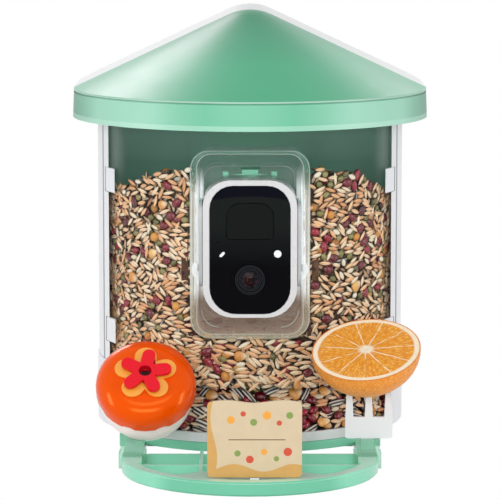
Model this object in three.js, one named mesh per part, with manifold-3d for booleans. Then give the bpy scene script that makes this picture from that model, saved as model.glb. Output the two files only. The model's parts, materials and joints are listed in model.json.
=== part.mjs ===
// A garden bird feeder with a camera, in millimetres, +Z up and the front towards -Y.
// The origin lies on the standing plane, on the axis of the rounded front of the seed hopper.
import * as THREE from 'three';
import { mergeVertices } from 'three/addons/utils/BufferGeometryUtils.js';
import Module from 'manifold-3d';

const wasm = await Module();
wasm.setup();

// Values shared by every piece
const clearance = 0.3;
const overrun = 6;
const sagitta = 0.14;
const chordLimit = 0.3;
const curveSteps = 24;
const ballSteps = 32;
const coarseSteps = 10;

// Seed hopper: a half round front with straight sides running back to a flat rear wall
const hopper = {
  radius: 108.5,
  wall: 2.2,
  back: 75,
  rearCorner: 18,
  joint: 6,
  top: 235,
  cheekTop: 60,
};
const hopperInner = hopper.radius - hopper.wall;

// Roof: a skirt, a half cone in front and a ridged slope behind
const roof = {
  overhang: 17.5,
  rearOverhang: 9,
  rearCorner: 18,
  skirtDrop: 5,
  skirtHeight: 20,
  skirtDraft: 0.7,
  slope: THREE.MathUtils.degToRad(25),
  wall: 2.4,
  crownRadius: 36,
  grooveDepth: 0.8,
  grooveHeight: 1.2,
  seatWall: 2.2,
};
roof.radius = hopper.radius + roof.overhang;
roof.back = hopper.back + roof.rearOverhang;
roof.skirtBottom = hopper.top - roof.skirtDrop;
roof.skirtTop = roof.skirtBottom + roof.skirtHeight;
const hinge = {
  inset: 2.5,
  drop: 10,
  pinRadius: 1.4,
  runningGap: 0.25,
  knuckleRadius: 4,
  knuckleLength: 14,
  spread: 42,
  sideGap: 0.4,
  earLength: 6,
  webHeight: 3.2,
};
hinge.y = roof.back - hinge.inset;
hinge.z = hopper.top - hinge.drop;
const rim = { height: 4.4, inset: 5 };

// Clear window, its lip and the four clips that hold it to the side frames
const glazing = {
  inset: 2.5,
  wall: 2.4,
  bottom: 52.5,
  halfAngle: THREE.MathUtils.degToRad(76),
  lipHeight: 4.5,
  lipDepth: 2,
  lipHalfAngle: THREE.MathUtils.degToRad(60),
};
glazing.radius = hopper.radius - glazing.inset;
const glazingInner = glazing.radius - glazing.wall;
const frameWidth = 9.5;
const frameEdgeX = hopper.radius - frameWidth;
const clip = {
  onWindow: 4.6,
  onFrame: 2.4,
  depth: 1.9,
  height: 16.8,
  lowerZ: 82.2,
  upperZ: 188.5,
};
clip.innerX = frameEdgeX - clip.onWindow;
clip.outerX = frameEdgeX + clip.onFrame;

// Tray that the seed spills into, and the sills that carry the window
const tray = {
  flare: 1,
  wall: 2.6,
  bottom: 14,
  floor: 2.4,
  rim: 20.5,
  rearRim: 24,
  openingCorner: 10,
  sillDepth: 5,
  sillFrom: THREE.MathUtils.degToRad(72.5),
  sillTo: THREE.MathUtils.degToRad(79),
  drainRadius: 1.6,
  drainRing: 70,
  drains: 7,
};
tray.radius = hopper.radius + tray.flare;
const ramp = { wall: 2, frontY: 8, rearZ: 49 };

// Clear pocket that the camera stands in
const pocket = {
  halfWidth: 36,
  wall: 1.6,
  floorZ: 88.8,
  topZ: 212,
  corner: 9.5,
  flangeInset: 6,
  chamberDepth: 43,
  nicheDepth: 10,
  backHalfWidth: 31.3,
  backFloorZ: 94,
  backTopZ: 199.5,
  backCorner: 8,
  flangeWall: 2,
  flangeHalfWidth: 41,
  flangeRise: 3,
  flangeCorner: 13,
  collarWall: 1.8,
  floorSlope: 4.2,
  ribX: 11,
  ribWall: 1.2,
  ribRise: 1.1,
  slotHalfWidth: 7,
  slotLow: 196,
  slotDepth: 3,
};
pocket.flangeY = pocket.flangeInset - glazing.radius;
pocket.stepY = pocket.flangeY + pocket.chamberDepth;
pocket.backY = pocket.stepY + pocket.nicheDepth;

// Camera housing, in its pocket; depths run back from its front
const camera = {
  halfWidth: 32.3,
  bottomZ: 100,
  topZ: 194.5,
  topCorner: 19,
  bottomCorner: 21,
  proud: 1,
  seamDepth: 16,
  depth: 34,
  wall: 2,
  faceHalfWidth: 27.5,
  faceBottomZ: 102.7,
  faceTopZ: 190.6,
  faceTopCorner: 16,
  faceBottomCorner: 18,
  faceDepth: 2.2,
  faceLedge: 4,
  sill: 4,
  sillHalfWidth: 15,
  sillDepth: 18,
};
camera.frontY = pocket.flangeY - camera.proud;
camera.seamY = camera.frontY + camera.seamDepth;
camera.rearY = camera.frontY + camera.depth;
camera.sillFrontY = camera.frontY + camera.sillDepth;
const motion = {
  halfWidth: 16,
  bottomZ: 154,
  topZ: 178.6,
  topCorner: 9.5,
  bottomCorner: 3,
  depth: 1.9,
  proud: 0.4,
};
const motionSensor = { z: 166, radius: 4.6, length: 7.6 };
const lens = {
  z: 126,
  bowlRadius: 13,
  bowlDepth: 1,
  ringRadius: 10.4,
  ringSet: 0.5,
  barrelRadius: 8.2,
  barrelSet: 0.9,
  glassRadius: 6,
  glassSeat: 2.2,
  glassCrown: 1.3,
};
const statusLight = { x: 18.9, z: 144, radius: 2.7, proud: 0.2, length: 2.6 };
const lightSensor = { x: -19, z: 143.6, length: 4.6, width: 2, turn: THREE.MathUtils.degToRad(45) };
const soundHole = { x: -22, z: 152, radius: 0.6 };
const board = { halfWidth: 27, bottomZ: 108, topZ: 184, corner: 4, depth: 11, wall: 1.4 };
board.y = camera.frontY + board.depth;
const chip = { halfWidth: 7, depth: 1.9 };
const battery = { radius: 9.1, length: 62, x: 12, bottomZ: 114 };
const speaker = { radius: 8.5, depth: 4.5, x: -12, z: 166, magnetRadius: 5.5, magnetDepth: 2.5 };
const port = { halfWidth: 4.2, depth: 3.2, height: 7, x: -7.5, back: 21.8, mouthGap: 0.6 };
port.y = camera.frontY + port.back;
const flap = {
  halfWidth: 5.2,
  length: 8,
  wall: 1.5,
  pinDepth: 26,
  inset: 0.15,
  plugHalfWidth: 2.8,
  plugDepth: 2,
  plugHeight: 1.6,
};
flap.pinY = camera.frontY + flap.pinDepth;
const powerButton = { x: 8, back: 23, radius: 3.2, proud: 0.8, flangeRadius: 4.3, flangeHeight: 1.2 };
powerButton.y = camera.frontY + powerButton.back;
const gasket = { width: 1.2, reach: 1.6 };
const caseScrew = {
  x: 25.5,
  lowZ: 122,
  highZ: 172,
  radius: 1.2,
  headRadius: 2.1,
  headHeight: 1.4,
  tipDepth: 8.5,
  postRadius: 2.5,
};
caseScrew.end = camera.frontY + caseScrew.tipDepth;

// Cradle that the camera tilts in, its pivot knobs and the green latch bracket behind the camera
const cradle = {
  gap: 0.4,
  wall: 2.6,
  bottomZ: 119,
  topZ: 178,
  frontDepth: 8,
  plateWall: 2.2,
  corner: 7,
  windowHalf: 22,
  windowMargin: 12,
  armCorner: 9,
};
cradle.innerHalf = camera.halfWidth + cradle.gap;
cradle.frontY = camera.frontY + cradle.frontDepth;
const knob = { depth: 17, z: 132, radius: 5.5, length: 4.2, stemRadius: 2.6, boreGap: 0.3 };
knob.y = camera.frontY + knob.depth;
const bracket = {
  wall: 2.4,
  halfWidth: 24,
  bottomZ: 179,
  shoulderZ: 190,
  crownZ: 195,
  crownHalfWidth: 13,
  tabHalfWidth: 5.6,
  tabTop: 198,
  tabDepth: 3.4,
  pinX: 16.8,
  pinHalfWidth: 2,
  pinTop: 196.8,
  pinReach: 1.2,
};

// Base under the tray
const base = {
  halfWidth: 92,
  frontY: -52,
  backY: 66,
  frontCorner: 4,
  backCorner: 14,
  wall: 2.6,
  deck: 2.4,
  padHalfWidth: 26,
  padHalfDepth: 13,
  bossRadius: 10,
  bossY: 36,
  socketWall: 2.4,
};
const insert = { radius: 4.8, bore: 3.175, length: 10, collarRadius: 6, collarHeight: 1.4, recess: 0.4 };
const footScrew = {
  x: 60,
  frontY: -18,
  rearY: 50,
  radius: 1.5,
  headRadius: 3,
  headHeight: 1.8,
  tip: 18.6,
  bossRadius: 4,
  bossTop: 20.5,
};

// Places ahead of the tray's front
const ahead = (gap) => -tray.radius - gap;

// Perch: a bowed front ring on two arms, with cross ribs and a front platform
const perch = {
  halfWidth: 87,
  bow: 80,
  bowAhead: 22,
  height: 9.5,
  ringWidth: 9,
  armInner: 73,
  armOuter: 86.5,
  armEndY: -30,
  edge: 1.2,
  ribWall: 2.4,
  ribHeight: 7.8,
  ribsAhead: [4.5, 39.5],
  spineX: 33,
  barInset: 5,
  barLap: 0.5,
  barBottom: 7.5,
  platformBackAhead: 62.5,
  platformHalfBack: 31,
  platformHalfFront: 53,
  platformFrontAhead: 75.5,
  platformWall: 3.4,
  platformTop: 8.3,
};
perch.bowY = ahead(perch.bowAhead);
perch.ribYs = perch.ribsAhead.map(ahead);
perch.barInner = tray.radius - perch.barInset;
perch.barOuter = tray.radius - perch.barLap;
perch.platformBackY = ahead(perch.platformBackAhead);
perch.platformFrontY = ahead(perch.platformFrontAhead);
const armMiddle = (perch.armInner + perch.armOuter) / 2;

// Sign on its clip
const sign = {
  x: 3,
  ahead: 87.5,
  width: 62,
  height: 50.5,
  bottom: 10,
  wall: 2.6,
  corner: 3,
  ripple: 0.9,
  halfWaves: 3,
  clipWidth: 6.2,
  clipWall: 3,
  clipTop: 30,
  clipFoot: 2.5,
  clipStep: 6,
};
sign.y = ahead(sign.ahead);

// Fruit fork on the right arm, with half an orange on it
const fork = {
  x: 80.6,
  ahead: 15.5,
  width: 32,
  baseBottom: 21.3,
  baseTop: 36,
  wall: 3.6,
  baseCorner: 1.6,
  tineRootWidth: 5.6,
  tineTipWidth: 2,
  tineTop: 72,
  tinePitch: 13.2,
  tongueWidth: 9,
  tongueDepth: 8,
  tongueWall: 2.4,
};
fork.y = ahead(fork.ahead);
const saddle = {
  wall: 2.2,
  gap: 0.4,
  ahead: 14.5,
  length: 14,
  legBottom: 1.2,
  neckHalfWidth: 8,
  dishTop: 26,
};
saddle.y = ahead(saddle.ahead);
const orange = {
  x: 78.4,
  ahead: 20.5,
  z: 83,
  radius: 36.9,
  depth: 29.6,
  tilt: THREE.MathUtils.degToRad(24),
  roll: THREE.MathUtils.degToRad(6),
  tineGap: 0.5,
};
orange.y = ahead(orange.ahead);

// Nectar dish on the left arm: a bowl, a domed lid and two flowers
const dish = {
  x: -70.4,
  ahead: 20.5,
  z: 58.7,
  elevation: THREE.MathUtils.degToRad(46),
  bowlRadius: 31.5,
  bowlSink: 11,
  bowlRim: -3,
  bowlWall: 2,
  lidGap: 0.3,
  lidMinor: 12,
  lidWall: 2.2,
  lidSkirt: -5.8,
  waves: 9,
  waveTurn: 0.25,
  waveDepth: 1.8,
  portRadius: 4.4,
};
dish.y = ahead(dish.ahead);
dish.lidMajor = dish.bowlRadius + dish.lidGap + dish.lidWall - dish.lidMinor;
const blossom = {
  petals: 5,
  outerReach: 21.5,
  outerPetal: 7.4,
  outerWall: 1.2,
  innerReach: 17.8,
  innerPetal: 4.4,
  innerTurn: THREE.MathUtils.degToRad(-10),
  innerWall: 2.4,
  innerLift: 3.2,
  stemRadius: 7.5,
};

// Seed: a heap in the hopper, banked up against the window, and a slope out onto the tray
const seed = {
  gap: 0.6,
  top: 207,
  fall: 6,
  bank: THREE.MathUtils.degToRad(16.7),
  footZ: 24,
  slopeDepth: 17,
};
seed.footRadius = glazingInner - seed.gap;
seed.headRadius = seed.footRadius - seed.slopeDepth;

// Finishes
const finish = (color, roughness, metalness = 0, opacity = 1) => new THREE.MeshStandardMaterial({
  color,
  roughness,
  metalness,
  opacity,
  transparent: opacity < 1,
});
const mint = finish(0x6fc7a1, 0.35);
const palePlastic = finish(0xe4e7ea, 0.4);
const clearPlastic = finish(0xdfeee8, 0.08, 0, 0.3);
const clipGreen = finish(0xa9dcc6, 0.25);
const blackGloss = finish(0x16191c, 0.12);
const blackSatin = finish(0x1c1e20, 0.4);
const rubber = finish(0x2a2c2e, 0.8);
const steel = finish(0xb9bcc0, 0.3, 1);
const brass = finish(0xc9a050, 0.35, 1);
const boardGreen = finish(0x1f6b43, 0.5);
const cellBlue = finish(0x2f5fa8, 0.45);
const seedTan = finish(0xc9a379, 0.8);
const orangePeel = finish(0xe8892b, 0.5);
const lidOrange = finish(0xf25a0a, 0.2);
const flowerYellow = finish(0xf0a645, 0.3);
const flowerRed = finish(0xe8252f, 0.25);
const signCream = finish(0xe3caa4, 0.5);

// Solids

// A closed solid from a geometry, with its faces turned outwards
function solid(geometry) {
  const bare = geometry.clone();
  bare.deleteAttribute('normal');
  bare.deleteAttribute('uv');
  const merged = mergeVertices(bare);
  const place = merged.getAttribute('position');
  const turns = Array.from(merged.index.array);
  const corner = (index) => new THREE.Vector3().fromBufferAttribute(place, index);
  let volume = 0;
  for (let face = 0; face < turns.length; face += 3) {
    const [a, b, c] = [corner(turns[face]), corner(turns[face + 1]), corner(turns[face + 2])];
    volume += a.dot(b.cross(c));
  }
  if (volume < 0) {
    turns.reverse();
  }
  return new wasm.Manifold(new wasm.Mesh({
    numProp: 3,
    vertProperties: Float32Array.from(place.array),
    triVerts: Uint32Array.from(turns),
  }));
}

function geometryOf(body) {
  const mesh = body.getMesh();
  const geometry = new THREE.BufferGeometry();
  geometry.setAttribute('position', new THREE.BufferAttribute(Float32Array.from(mesh.vertProperties), 3));
  geometry.setIndex(Array.from(mesh.triVerts));
  geometry.computeVertexNormals();
  return geometry;
}

const join = (first, ...others) => others.reduce((whole, other) => whole.add(other), first);
const cut = (first, ...others) => others.reduce((whole, other) => whole.subtract(other), first);
const common = (first, ...others) => others.reduce((whole, other) => whole.intersect(other), first);

// Points along an arc, spaced so that no chord leaves it by more than the sagitta
function arc(centreX, centreY, radius, from, to) {
  const turn = 2 * Math.acos(1 - Math.min(sagitta / radius, chordLimit));
  const steps = Math.max(2, Math.ceil(Math.abs(to - from) / turn));
  return Array.from({ length: steps + 1 }, (_, step) => {
    const angle = from + ((to - from) * step) / steps;
    return new THREE.Vector2(centreX + radius * Math.cos(angle), centreY + radius * Math.sin(angle));
  });
}

// A closed outline from corners given as [x, y, fillet radius]
function outline(corners) {
  const at = (index) => new THREE.Vector2(...corners[(index + corners.length) % corners.length]);
  const points = corners.flatMap(([, , radius = 0], index) => {
    const here = at(index);
    if (radius === 0) {
      return [here];
    }
    const before = at(index - 1).sub(here);
    const after = at(index + 1).sub(here);
    const room = Math.min(before.length(), after.length()) / 2;
    before.normalize();
    after.normalize();
    const half = Math.acos(before.dot(after)) / 2;
    const reach = Math.min(radius / Math.tan(half), room);
    const fillet = reach * Math.tan(half);
    const centre = before.clone().add(after).normalize().multiplyScalar(fillet / Math.sin(half)).add(here);
    const start = before.multiplyScalar(reach).add(here).sub(centre);
    const end = after.multiplyScalar(reach).add(here).sub(centre);
    const from = Math.atan2(start.y, start.x);
    const sweep = Math.atan2(start.cross(end), start.dot(end));
    return arc(centre.x, centre.y, fillet, from, from + sweep);
  });
  return new THREE.Shape(points);
}

// A rounded rectangle with one fillet at its low corners and one at its high corners
const panel = (lowX, highX, lowY, highY, lowFillet, highFillet = lowFillet) => outline([
  [lowX, lowY, lowFillet],
  [highX, lowY, lowFillet],
  [highX, highY, highFillet],
  [lowX, highY, highFillet],
]);

const disc = (x, y, radius) => new THREE.Shape(arc(x, y, radius, 0, 2 * Math.PI).slice(1));

const extruded = (shape, depth) => new THREE.ExtrudeGeometry(shape, { depth, bevelEnabled: false });

// Prisms of an outline drawn in the XY, XZ or YZ plane
const alongZ = (shape, low, high) => solid(extruded(shape, high - low).translate(0, 0, low));
const alongY = (shape, low, high) => solid(
  extruded(shape, high - low).rotateX(Math.PI / 2).translate(0, high, 0),
);
const yzToX = new THREE.Matrix4().makeBasis(
  new THREE.Vector3(0, 1, 0),
  new THREE.Vector3(0, 0, 1),
  new THREE.Vector3(1, 0, 0),
);
const alongX = (shape, low, high) => solid(
  extruded(shape, high - low).applyMatrix4(yzToX).translate(low, 0, 0),
);

const block = ([lowX, highX], [lowY, highY], [lowZ, highZ]) => alongZ(
  panel(lowX, highX, lowY, highY, 0),
  lowZ,
  highZ,
);

// A solid of revolution about Z from a profile of [radius, height] points
const turned = (profile, segments) => solid(
  new THREE.LatheGeometry(profile.map((point) => new THREE.Vector2(...point)), segments).rotateX(Math.PI / 2),
);

// Segments for a full turn at a radius
const around = (radius) => {
  const halfTurn = Math.acos(1 - Math.min(sagitta / radius, chordLimit));
  return 4 * Math.ceil(Math.PI / (4 * halfTurn));
};

// A solid carried to a place by a matrix
const placed = (body, matrix) => {
  const moved = geometryOf(body);
  moved.deleteAttribute('normal');
  return solid(moved.applyMatrix4(matrix));
};

// The plan of the hopper: a half round front, straight sides and a flat rear with round corners
function plan(radius, back, corner) {
  const fillet = Math.min(corner, radius, back);
  return new THREE.Shape([
    ...arc(0, 0, radius, -Math.PI, 0),
    ...arc(radius - fillet, back - fillet, fillet, 0, Math.PI / 2),
    ...arc(fillet - radius, back - fillet, fillet, Math.PI / 2, Math.PI),
  ]);
}

// A curved wall about the hopper's axis, between two angles measured from the front
function curvedWall(inner, outer, from, to, low, high) {
  const start = from - Math.PI / 2;
  const end = to - Math.PI / 2;
  const section = [...arc(0, 0, outer, start, end), ...arc(0, 0, inner, end, start)];
  return alongZ(new THREE.Shape(section), low, high);
}

const group = new THREE.Group();
group.name = 'bird_feeder';
function add(name, body, material, parent = group) {
  const mesh = new THREE.Mesh(geometryOf(body), material);
  mesh.name = name;
  parent.add(mesh);
  return mesh;
}
const sides = [['left', -1], ['right', 1]];

// Roof
function roofForm(radius, back, corner, low, fall, groove) {
  const eaves = roof.skirtTop - fall;
  const rise = Math.tan(roof.slope);
  const tangentX = roof.crownRadius * Math.sin(roof.slope);
  const crownZ = eaves + (radius - tangentX) * rise;
  const centreZ = crownZ - roof.crownRadius * Math.cos(roof.slope);
  const crown = arc(0, centreZ, roof.crownRadius, Math.PI / 2 - roof.slope, Math.PI / 2);
  const side = [
    new THREE.Vector2(radius, low),
    new THREE.Vector2(radius - (roof.skirtDraft * (eaves - low)) / roof.skirtHeight, eaves - groove * 2),
    ...(groove > 0 ? [
      new THREE.Vector2(radius - roof.skirtDraft - roof.grooveDepth, eaves - groove * 2),
      new THREE.Vector2(radius - roof.skirtDraft - roof.grooveDepth, eaves - groove),
    ] : []),
    new THREE.Vector2(radius - roof.skirtDraft, eaves - groove),
    new THREE.Vector2(radius - roof.skirtDraft, eaves),
    ...crown,
  ];
  const cone = turned([[0, low], ...side.map((point) => [point.x, point.y])], around(radius));
  const mirrored = side.slice(0, -1).map((point) => new THREE.Vector2(-point.x, point.y)).reverse();
  const ridge = alongY(new THREE.Shape([...side, ...mirrored]), 0, back);
  return common(join(cone, ridge), alongZ(plan(radius, back, corner), low, crownZ + roof.crownRadius));
}
const seatInner = hopper.radius - roof.seatWall;
const aboveRoof = roof.skirtTop + roof.radius;
const rimTop = hopper.top + clearance + rim.height;
const roofShell = cut(
  roofForm(roof.radius, roof.back, roof.rearCorner, roof.skirtBottom, 0, roof.grooveHeight),
  roofForm(
    roof.radius - roof.wall,
    roof.back - roof.wall,
    roof.rearCorner - roof.wall,
    roof.skirtBottom - overrun,
    roof.wall / Math.cos(roof.slope) - roof.wall * Math.tan(roof.slope) + roof.skirtDraft,
    0,
  ),
);
const seatRing = common(
  cut(
    alongZ(plan(hopper.radius, hopper.back, hopper.rearCorner), rimTop + clearance, aboveRoof),
    alongZ(plan(seatInner, hopper.back - roof.seatWall, hopper.rearCorner), rimTop, aboveRoof),
  ),
  roofForm(
    roof.radius - roof.wall / 2,
    roof.back - roof.wall / 2,
    roof.rearCorner,
    roof.skirtBottom,
    roof.wall / 2,
    0,
  ),
);

// Hinge of the roof: knuckles hang from its rear skirt and turn on pins held by ears on the rear shell
const knuckleCentre = (side) => side * hinge.spread;
function knuckle(side, length, radius, extraSide = 0) {
  const middle = knuckleCentre(side);
  const reach = length / 2 + extraSide;
  return alongX(disc(hinge.y, hinge.z, radius), middle - reach, middle + reach);
}
const pinReach = hinge.knuckleLength + 2 * (hinge.sideGap + hinge.earLength);
const roofKnuckles = sides.map(([, side]) => {
  const middle = knuckleCentre(side);
  const strap = block(
    [middle - hinge.knuckleLength / 2, middle + hinge.knuckleLength / 2],
    [roof.back - roof.wall, roof.back],
    [hinge.z, roof.skirtBottom + hinge.webHeight],
  );
  return join(knuckle(side, hinge.knuckleLength, hinge.knuckleRadius), strap);
});
const roofBore = hinge.pinRadius + hinge.runningGap;
const roofBores = sides.map(([, side]) => knuckle(side, pinReach, roofBore, overrun));
add('roof', cut(join(roofShell, seatRing, ...roofKnuckles), ...roofBores), mint);

// Rear shell of the hopper with the ears for the hinge
const hopperPlan = plan(hopper.radius, hopper.back, hopper.rearCorner);
const hopperHollow = plan(hopperInner, hopper.back - hopper.wall, hopper.rearCorner - hopper.wall);
const rearShellBottom = tray.rearRim + clearance;
const rearWalls = cut(
  alongZ(hopperPlan, rearShellBottom, hopper.top),
  alongZ(hopperHollow, rearShellBottom - overrun, hopper.top + overrun),
  block(
    [-roof.radius, roof.radius],
    [-roof.radius, hopper.joint + clearance],
    [rearShellBottom - overrun, hopper.top + overrun],
  ),
);
const ears = sides.flatMap(([, side]) => [-1, 1].map((end) => {
  const inner = knuckleCentre(side) + end * (hinge.knuckleLength / 2 + hinge.sideGap);
  const outer = inner + end * hinge.earLength;
  const [low, high] = [Math.min(inner, outer), Math.max(inner, outer)];
  return join(
    alongX(disc(hinge.y, hinge.z, hinge.knuckleRadius), low, high),
    block(
      [low, high],
      [hopper.back - hopper.wall / 2, hinge.y],
      [hinge.z - hinge.knuckleRadius, hinge.z + hinge.knuckleRadius / 2],
    ),
  );
}));
const earBores = sides.map(([, side]) => knuckle(side, pinReach, hinge.pinRadius + clearance, overrun));
add('rear_shell', cut(join(rearWalls, ...ears), ...earBores), mint);
sides.forEach(([name, side]) => add(`hinge_pin_${name}`, knuckle(side, pinReach, hinge.pinRadius), steel));

// Rim that ties the top of the hopper and carries the roof
add('top_rim', cut(
  alongZ(hopperPlan, hopper.top + clearance, rimTop),
  alongZ(
    plan(hopper.radius - rim.inset, hopper.back - rim.inset, hopper.rearCorner - rim.inset),
    hopper.top - overrun,
    rimTop + overrun,
  ),
), mint);

// Side frames, notched for the window clips
const clipLevels = [['lower', clip.lowerZ], ['upper', clip.upperZ]];
const clipInner = glazing.radius + clearance;
function clipBody(side, level, spread) {
  const [low, high] = side < 0 ? [-clip.outerX, -clip.innerX] : [clip.innerX, clip.outerX];
  return common(
    curvedWall(
      clipInner - spread,
      clipInner + clip.depth + spread,
      -Math.PI / 2,
      Math.PI / 2,
      level - clip.height,
      level + clip.height,
    ),
    block(
      [low - spread, high + spread],
      [-hopper.radius - overrun, 0],
      [level - clip.height / 2 - spread, level + clip.height / 2 + spread],
    ),
  );
}
sides.forEach(([name, side]) => {
  const ring = cut(
    alongZ(hopperPlan, hopper.cheekTop + clearance, hopper.top),
    alongZ(hopperHollow, hopper.cheekTop, hopper.top + overrun),
  );
  const strip = common(ring, block(
    side < 0 ? [-roof.radius, -frameEdgeX] : [frameEdgeX, roof.radius],
    [-roof.radius, hopper.joint],
    [hopper.cheekTop, hopper.top],
  ));
  const notches = clipLevels.map(([, level]) => clipBody(side, level, clearance));
  add(`side_frame_${name}`, cut(strip, ...notches), palePlastic);
  clipLevels.forEach(([height, level]) => {
    add(`window_clip_${name}_${height}`, clipBody(side, level, 0), palePlastic);
  });
});

// Clear window with its lip and the opening for the camera pocket
const pocketOutline = (margin) => panel(
  -pocket.flangeHalfWidth - margin,
  pocket.flangeHalfWidth + margin,
  pocket.floorZ - pocket.flangeRise - margin,
  pocket.topZ + pocket.flangeRise + margin,
  pocket.flangeCorner + margin,
);
add('front_window', cut(
  join(
    curvedWall(
      glazingInner,
      glazing.radius,
      -glazing.halfAngle,
      glazing.halfAngle,
      glazing.bottom,
      hopper.top,
    ),
    curvedWall(
      glazingInner,
      glazing.radius + glazing.lipDepth,
      -glazing.lipHalfAngle,
      glazing.lipHalfAngle,
      glazing.bottom,
      glazing.bottom + glazing.lipHeight,
    ),
  ),
  alongY(pocketOutline(clearance), -roof.radius, -glazingInner / 2),
), clearPlastic);

// Clear pocket: a collar that meets the window, a flat flange, a front chamber and a smaller rear one
const boxOutline = (margin) => panel(
  -pocket.halfWidth - margin,
  pocket.halfWidth + margin,
  pocket.floorZ - margin,
  pocket.topZ + margin,
  pocket.corner + margin,
);
const nicheOutline = (margin) => panel(
  -pocket.backHalfWidth - margin,
  pocket.backHalfWidth + margin,
  pocket.backFloorZ - margin,
  pocket.backTopZ + margin,
  pocket.backCorner + margin,
);
const collar = common(
  cut(
    alongY(pocketOutline(0), -hopper.radius, pocket.flangeY + 2 * pocket.flangeWall),
    alongY(pocketOutline(-pocket.collarWall), -roof.radius, pocket.backY),
  ),
  join(
    alongZ(
      plan(glazing.radius, hopper.back, hopper.rearCorner),
      pocket.floorZ - pocket.halfWidth,
      hopper.top,
    ),
    block(
      [-roof.radius, roof.radius],
      [pocket.flangeY, 0],
      [pocket.floorZ - pocket.halfWidth, hopper.top],
    ),
  ),
);
const flange = cut(
  alongY(pocketOutline(0), pocket.flangeY, pocket.flangeY + pocket.flangeWall),
  alongY(boxOutline(0), -roof.radius, pocket.backY),
);
const pocketBox = cut(
  join(
    alongY(boxOutline(pocket.wall), pocket.flangeY, pocket.stepY + pocket.wall),
    alongY(nicheOutline(pocket.wall), pocket.flangeY, pocket.backY + pocket.wall),
  ),
  alongY(boxOutline(0), -roof.radius, pocket.stepY),
  alongY(nicheOutline(0), -roof.radius, pocket.backY),
  block(
    [-pocket.slotHalfWidth, pocket.slotHalfWidth],
    [pocket.stepY + pocket.slotDepth, pocket.backY + overrun],
    [pocket.slotLow, pocket.backTopZ + overrun],
  ),
);
const floorWedge = (low, high, rise) => alongX(new THREE.Shape([
  new THREE.Vector2(pocket.flangeY, pocket.floorZ - pocket.wall / 2),
  new THREE.Vector2(pocket.stepY + pocket.wall / 2, pocket.floorZ - pocket.wall / 2),
  new THREE.Vector2(pocket.stepY + pocket.wall / 2, pocket.floorZ + pocket.floorSlope + rise),
  new THREE.Vector2(pocket.flangeY, pocket.floorZ + rise),
]), low, high);
const pocketRamp = floorWedge(pocket.corner / 2 - pocket.halfWidth, pocket.halfWidth - pocket.corner / 2, 0);
const pocketRibs = sides.map(([, side]) => floorWedge(
  side * pocket.ribX - pocket.ribWall / 2,
  side * pocket.ribX + pocket.ribWall / 2,
  pocket.ribRise,
));
const knobBores = sides.map(([, side]) => {
  const [low, high] = [side * (pocket.halfWidth - overrun), side * (pocket.flangeHalfWidth + overrun)];
  const reach = [Math.min(low, high), Math.max(low, high)];
  return alongX(disc(knob.y, knob.z, knob.stemRadius + knob.boreGap), ...reach);
});
add('camera_pocket', cut(
  join(collar, flange, pocketBox, pocketRamp, ...pocketRibs),
  ...knobBores,
), clearPlastic);

// Camera housing
const caseOutline = (margin) => panel(
  -camera.halfWidth - margin,
  camera.halfWidth + margin,
  camera.bottomZ - margin,
  camera.topZ + margin,
  camera.bottomCorner + margin,
  camera.topCorner + margin,
);
const faceOutline = (margin) => panel(
  -camera.faceHalfWidth - margin,
  camera.faceHalfWidth + margin,
  camera.faceBottomZ - margin,
  camera.faceTopZ + margin,
  camera.faceBottomCorner + margin,
  camera.faceTopCorner + margin,
);
const screwLevels = [['lower', caseScrew.lowZ], ['upper', caseScrew.highZ]];
const screwPlaces = sides.flatMap(([name, side]) => screwLevels.map(
  ([height, z]) => ({ name: `${name}_${height}`, x: side * caseScrew.x, z }),
));
const faceBack = camera.frontY + camera.faceDepth;
const ledgeBack = faceBack + clearance + camera.wall;
const boardFront = board.y - board.wall / 2;
const boardBack = board.y + board.wall / 2;
const frontPosts = screwPlaces.map(({ x, z }) => alongY(
  disc(x, z, caseScrew.postRadius),
  ledgeBack - camera.wall / 2,
  boardFront - clearance,
));
const screwBores = screwPlaces.map(({ x, z }) => alongY(
  disc(x, z, caseScrew.radius + clearance),
  caseScrew.end - clearance,
  camera.rearY + overrun,
));
add('camera_front_shell', cut(
  join(
    cut(
      alongY(caseOutline(0), camera.frontY, camera.seamY - clearance / 2),
      alongY(caseOutline(-camera.wall), ledgeBack, camera.seamY + overrun),
      alongY(faceOutline(clearance), camera.frontY - overrun, faceBack + clearance),
      alongY(faceOutline(-camera.faceLedge), camera.frontY, ledgeBack + overrun),
    ),
    ...frontPosts,
  ),
  ...screwBores,
), palePlastic);

// Rear shell with its posts and the thick sill that holds the charging port and the button
const rearInner = camera.rearY - camera.wall;
const rearPosts = screwPlaces.map(({ x, z }) => alongY(
  disc(x, z, caseScrew.postRadius),
  boardBack + clearance,
  rearInner + camera.wall / 2,
));
const sillTop = camera.bottomZ + camera.sill;
const sill = block(
  [-camera.sillHalfWidth, camera.sillHalfWidth],
  [camera.sillFrontY, rearInner + camera.wall / 2],
  [camera.bottomZ + camera.wall / 2, sillTop],
);
const flapZ = camera.bottomZ + flap.inset + flap.wall / 2;
const flapSide = (margin) => [port.x - flap.halfWidth - margin, port.x + flap.halfWidth + margin];
const flapPlate = (margin) => join(
  block(
    flapSide(margin),
    [flap.pinY - flap.length - margin, flap.pinY],
    [flapZ - flap.wall / 2 - margin, flapZ + flap.wall / 2 + margin],
  ),
  alongX(disc(flap.pinY, flapZ, flap.wall / 2 + margin), ...flapSide(margin)),
);
const portMouth = block(
  [port.x - port.halfWidth, port.x + port.halfWidth],
  [port.y - port.depth / 2 - port.mouthGap, port.y + port.depth / 2 + port.mouthGap],
  [camera.bottomZ - overrun, sillTop + overrun],
);
const flapRecess = join(
  flapPlate(clearance),
  block(
    flapSide(clearance),
    [flap.pinY - flap.length - clearance, flap.pinY + flap.wall / 2 + clearance],
    [camera.bottomZ - overrun, flapZ],
  ),
);
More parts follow.
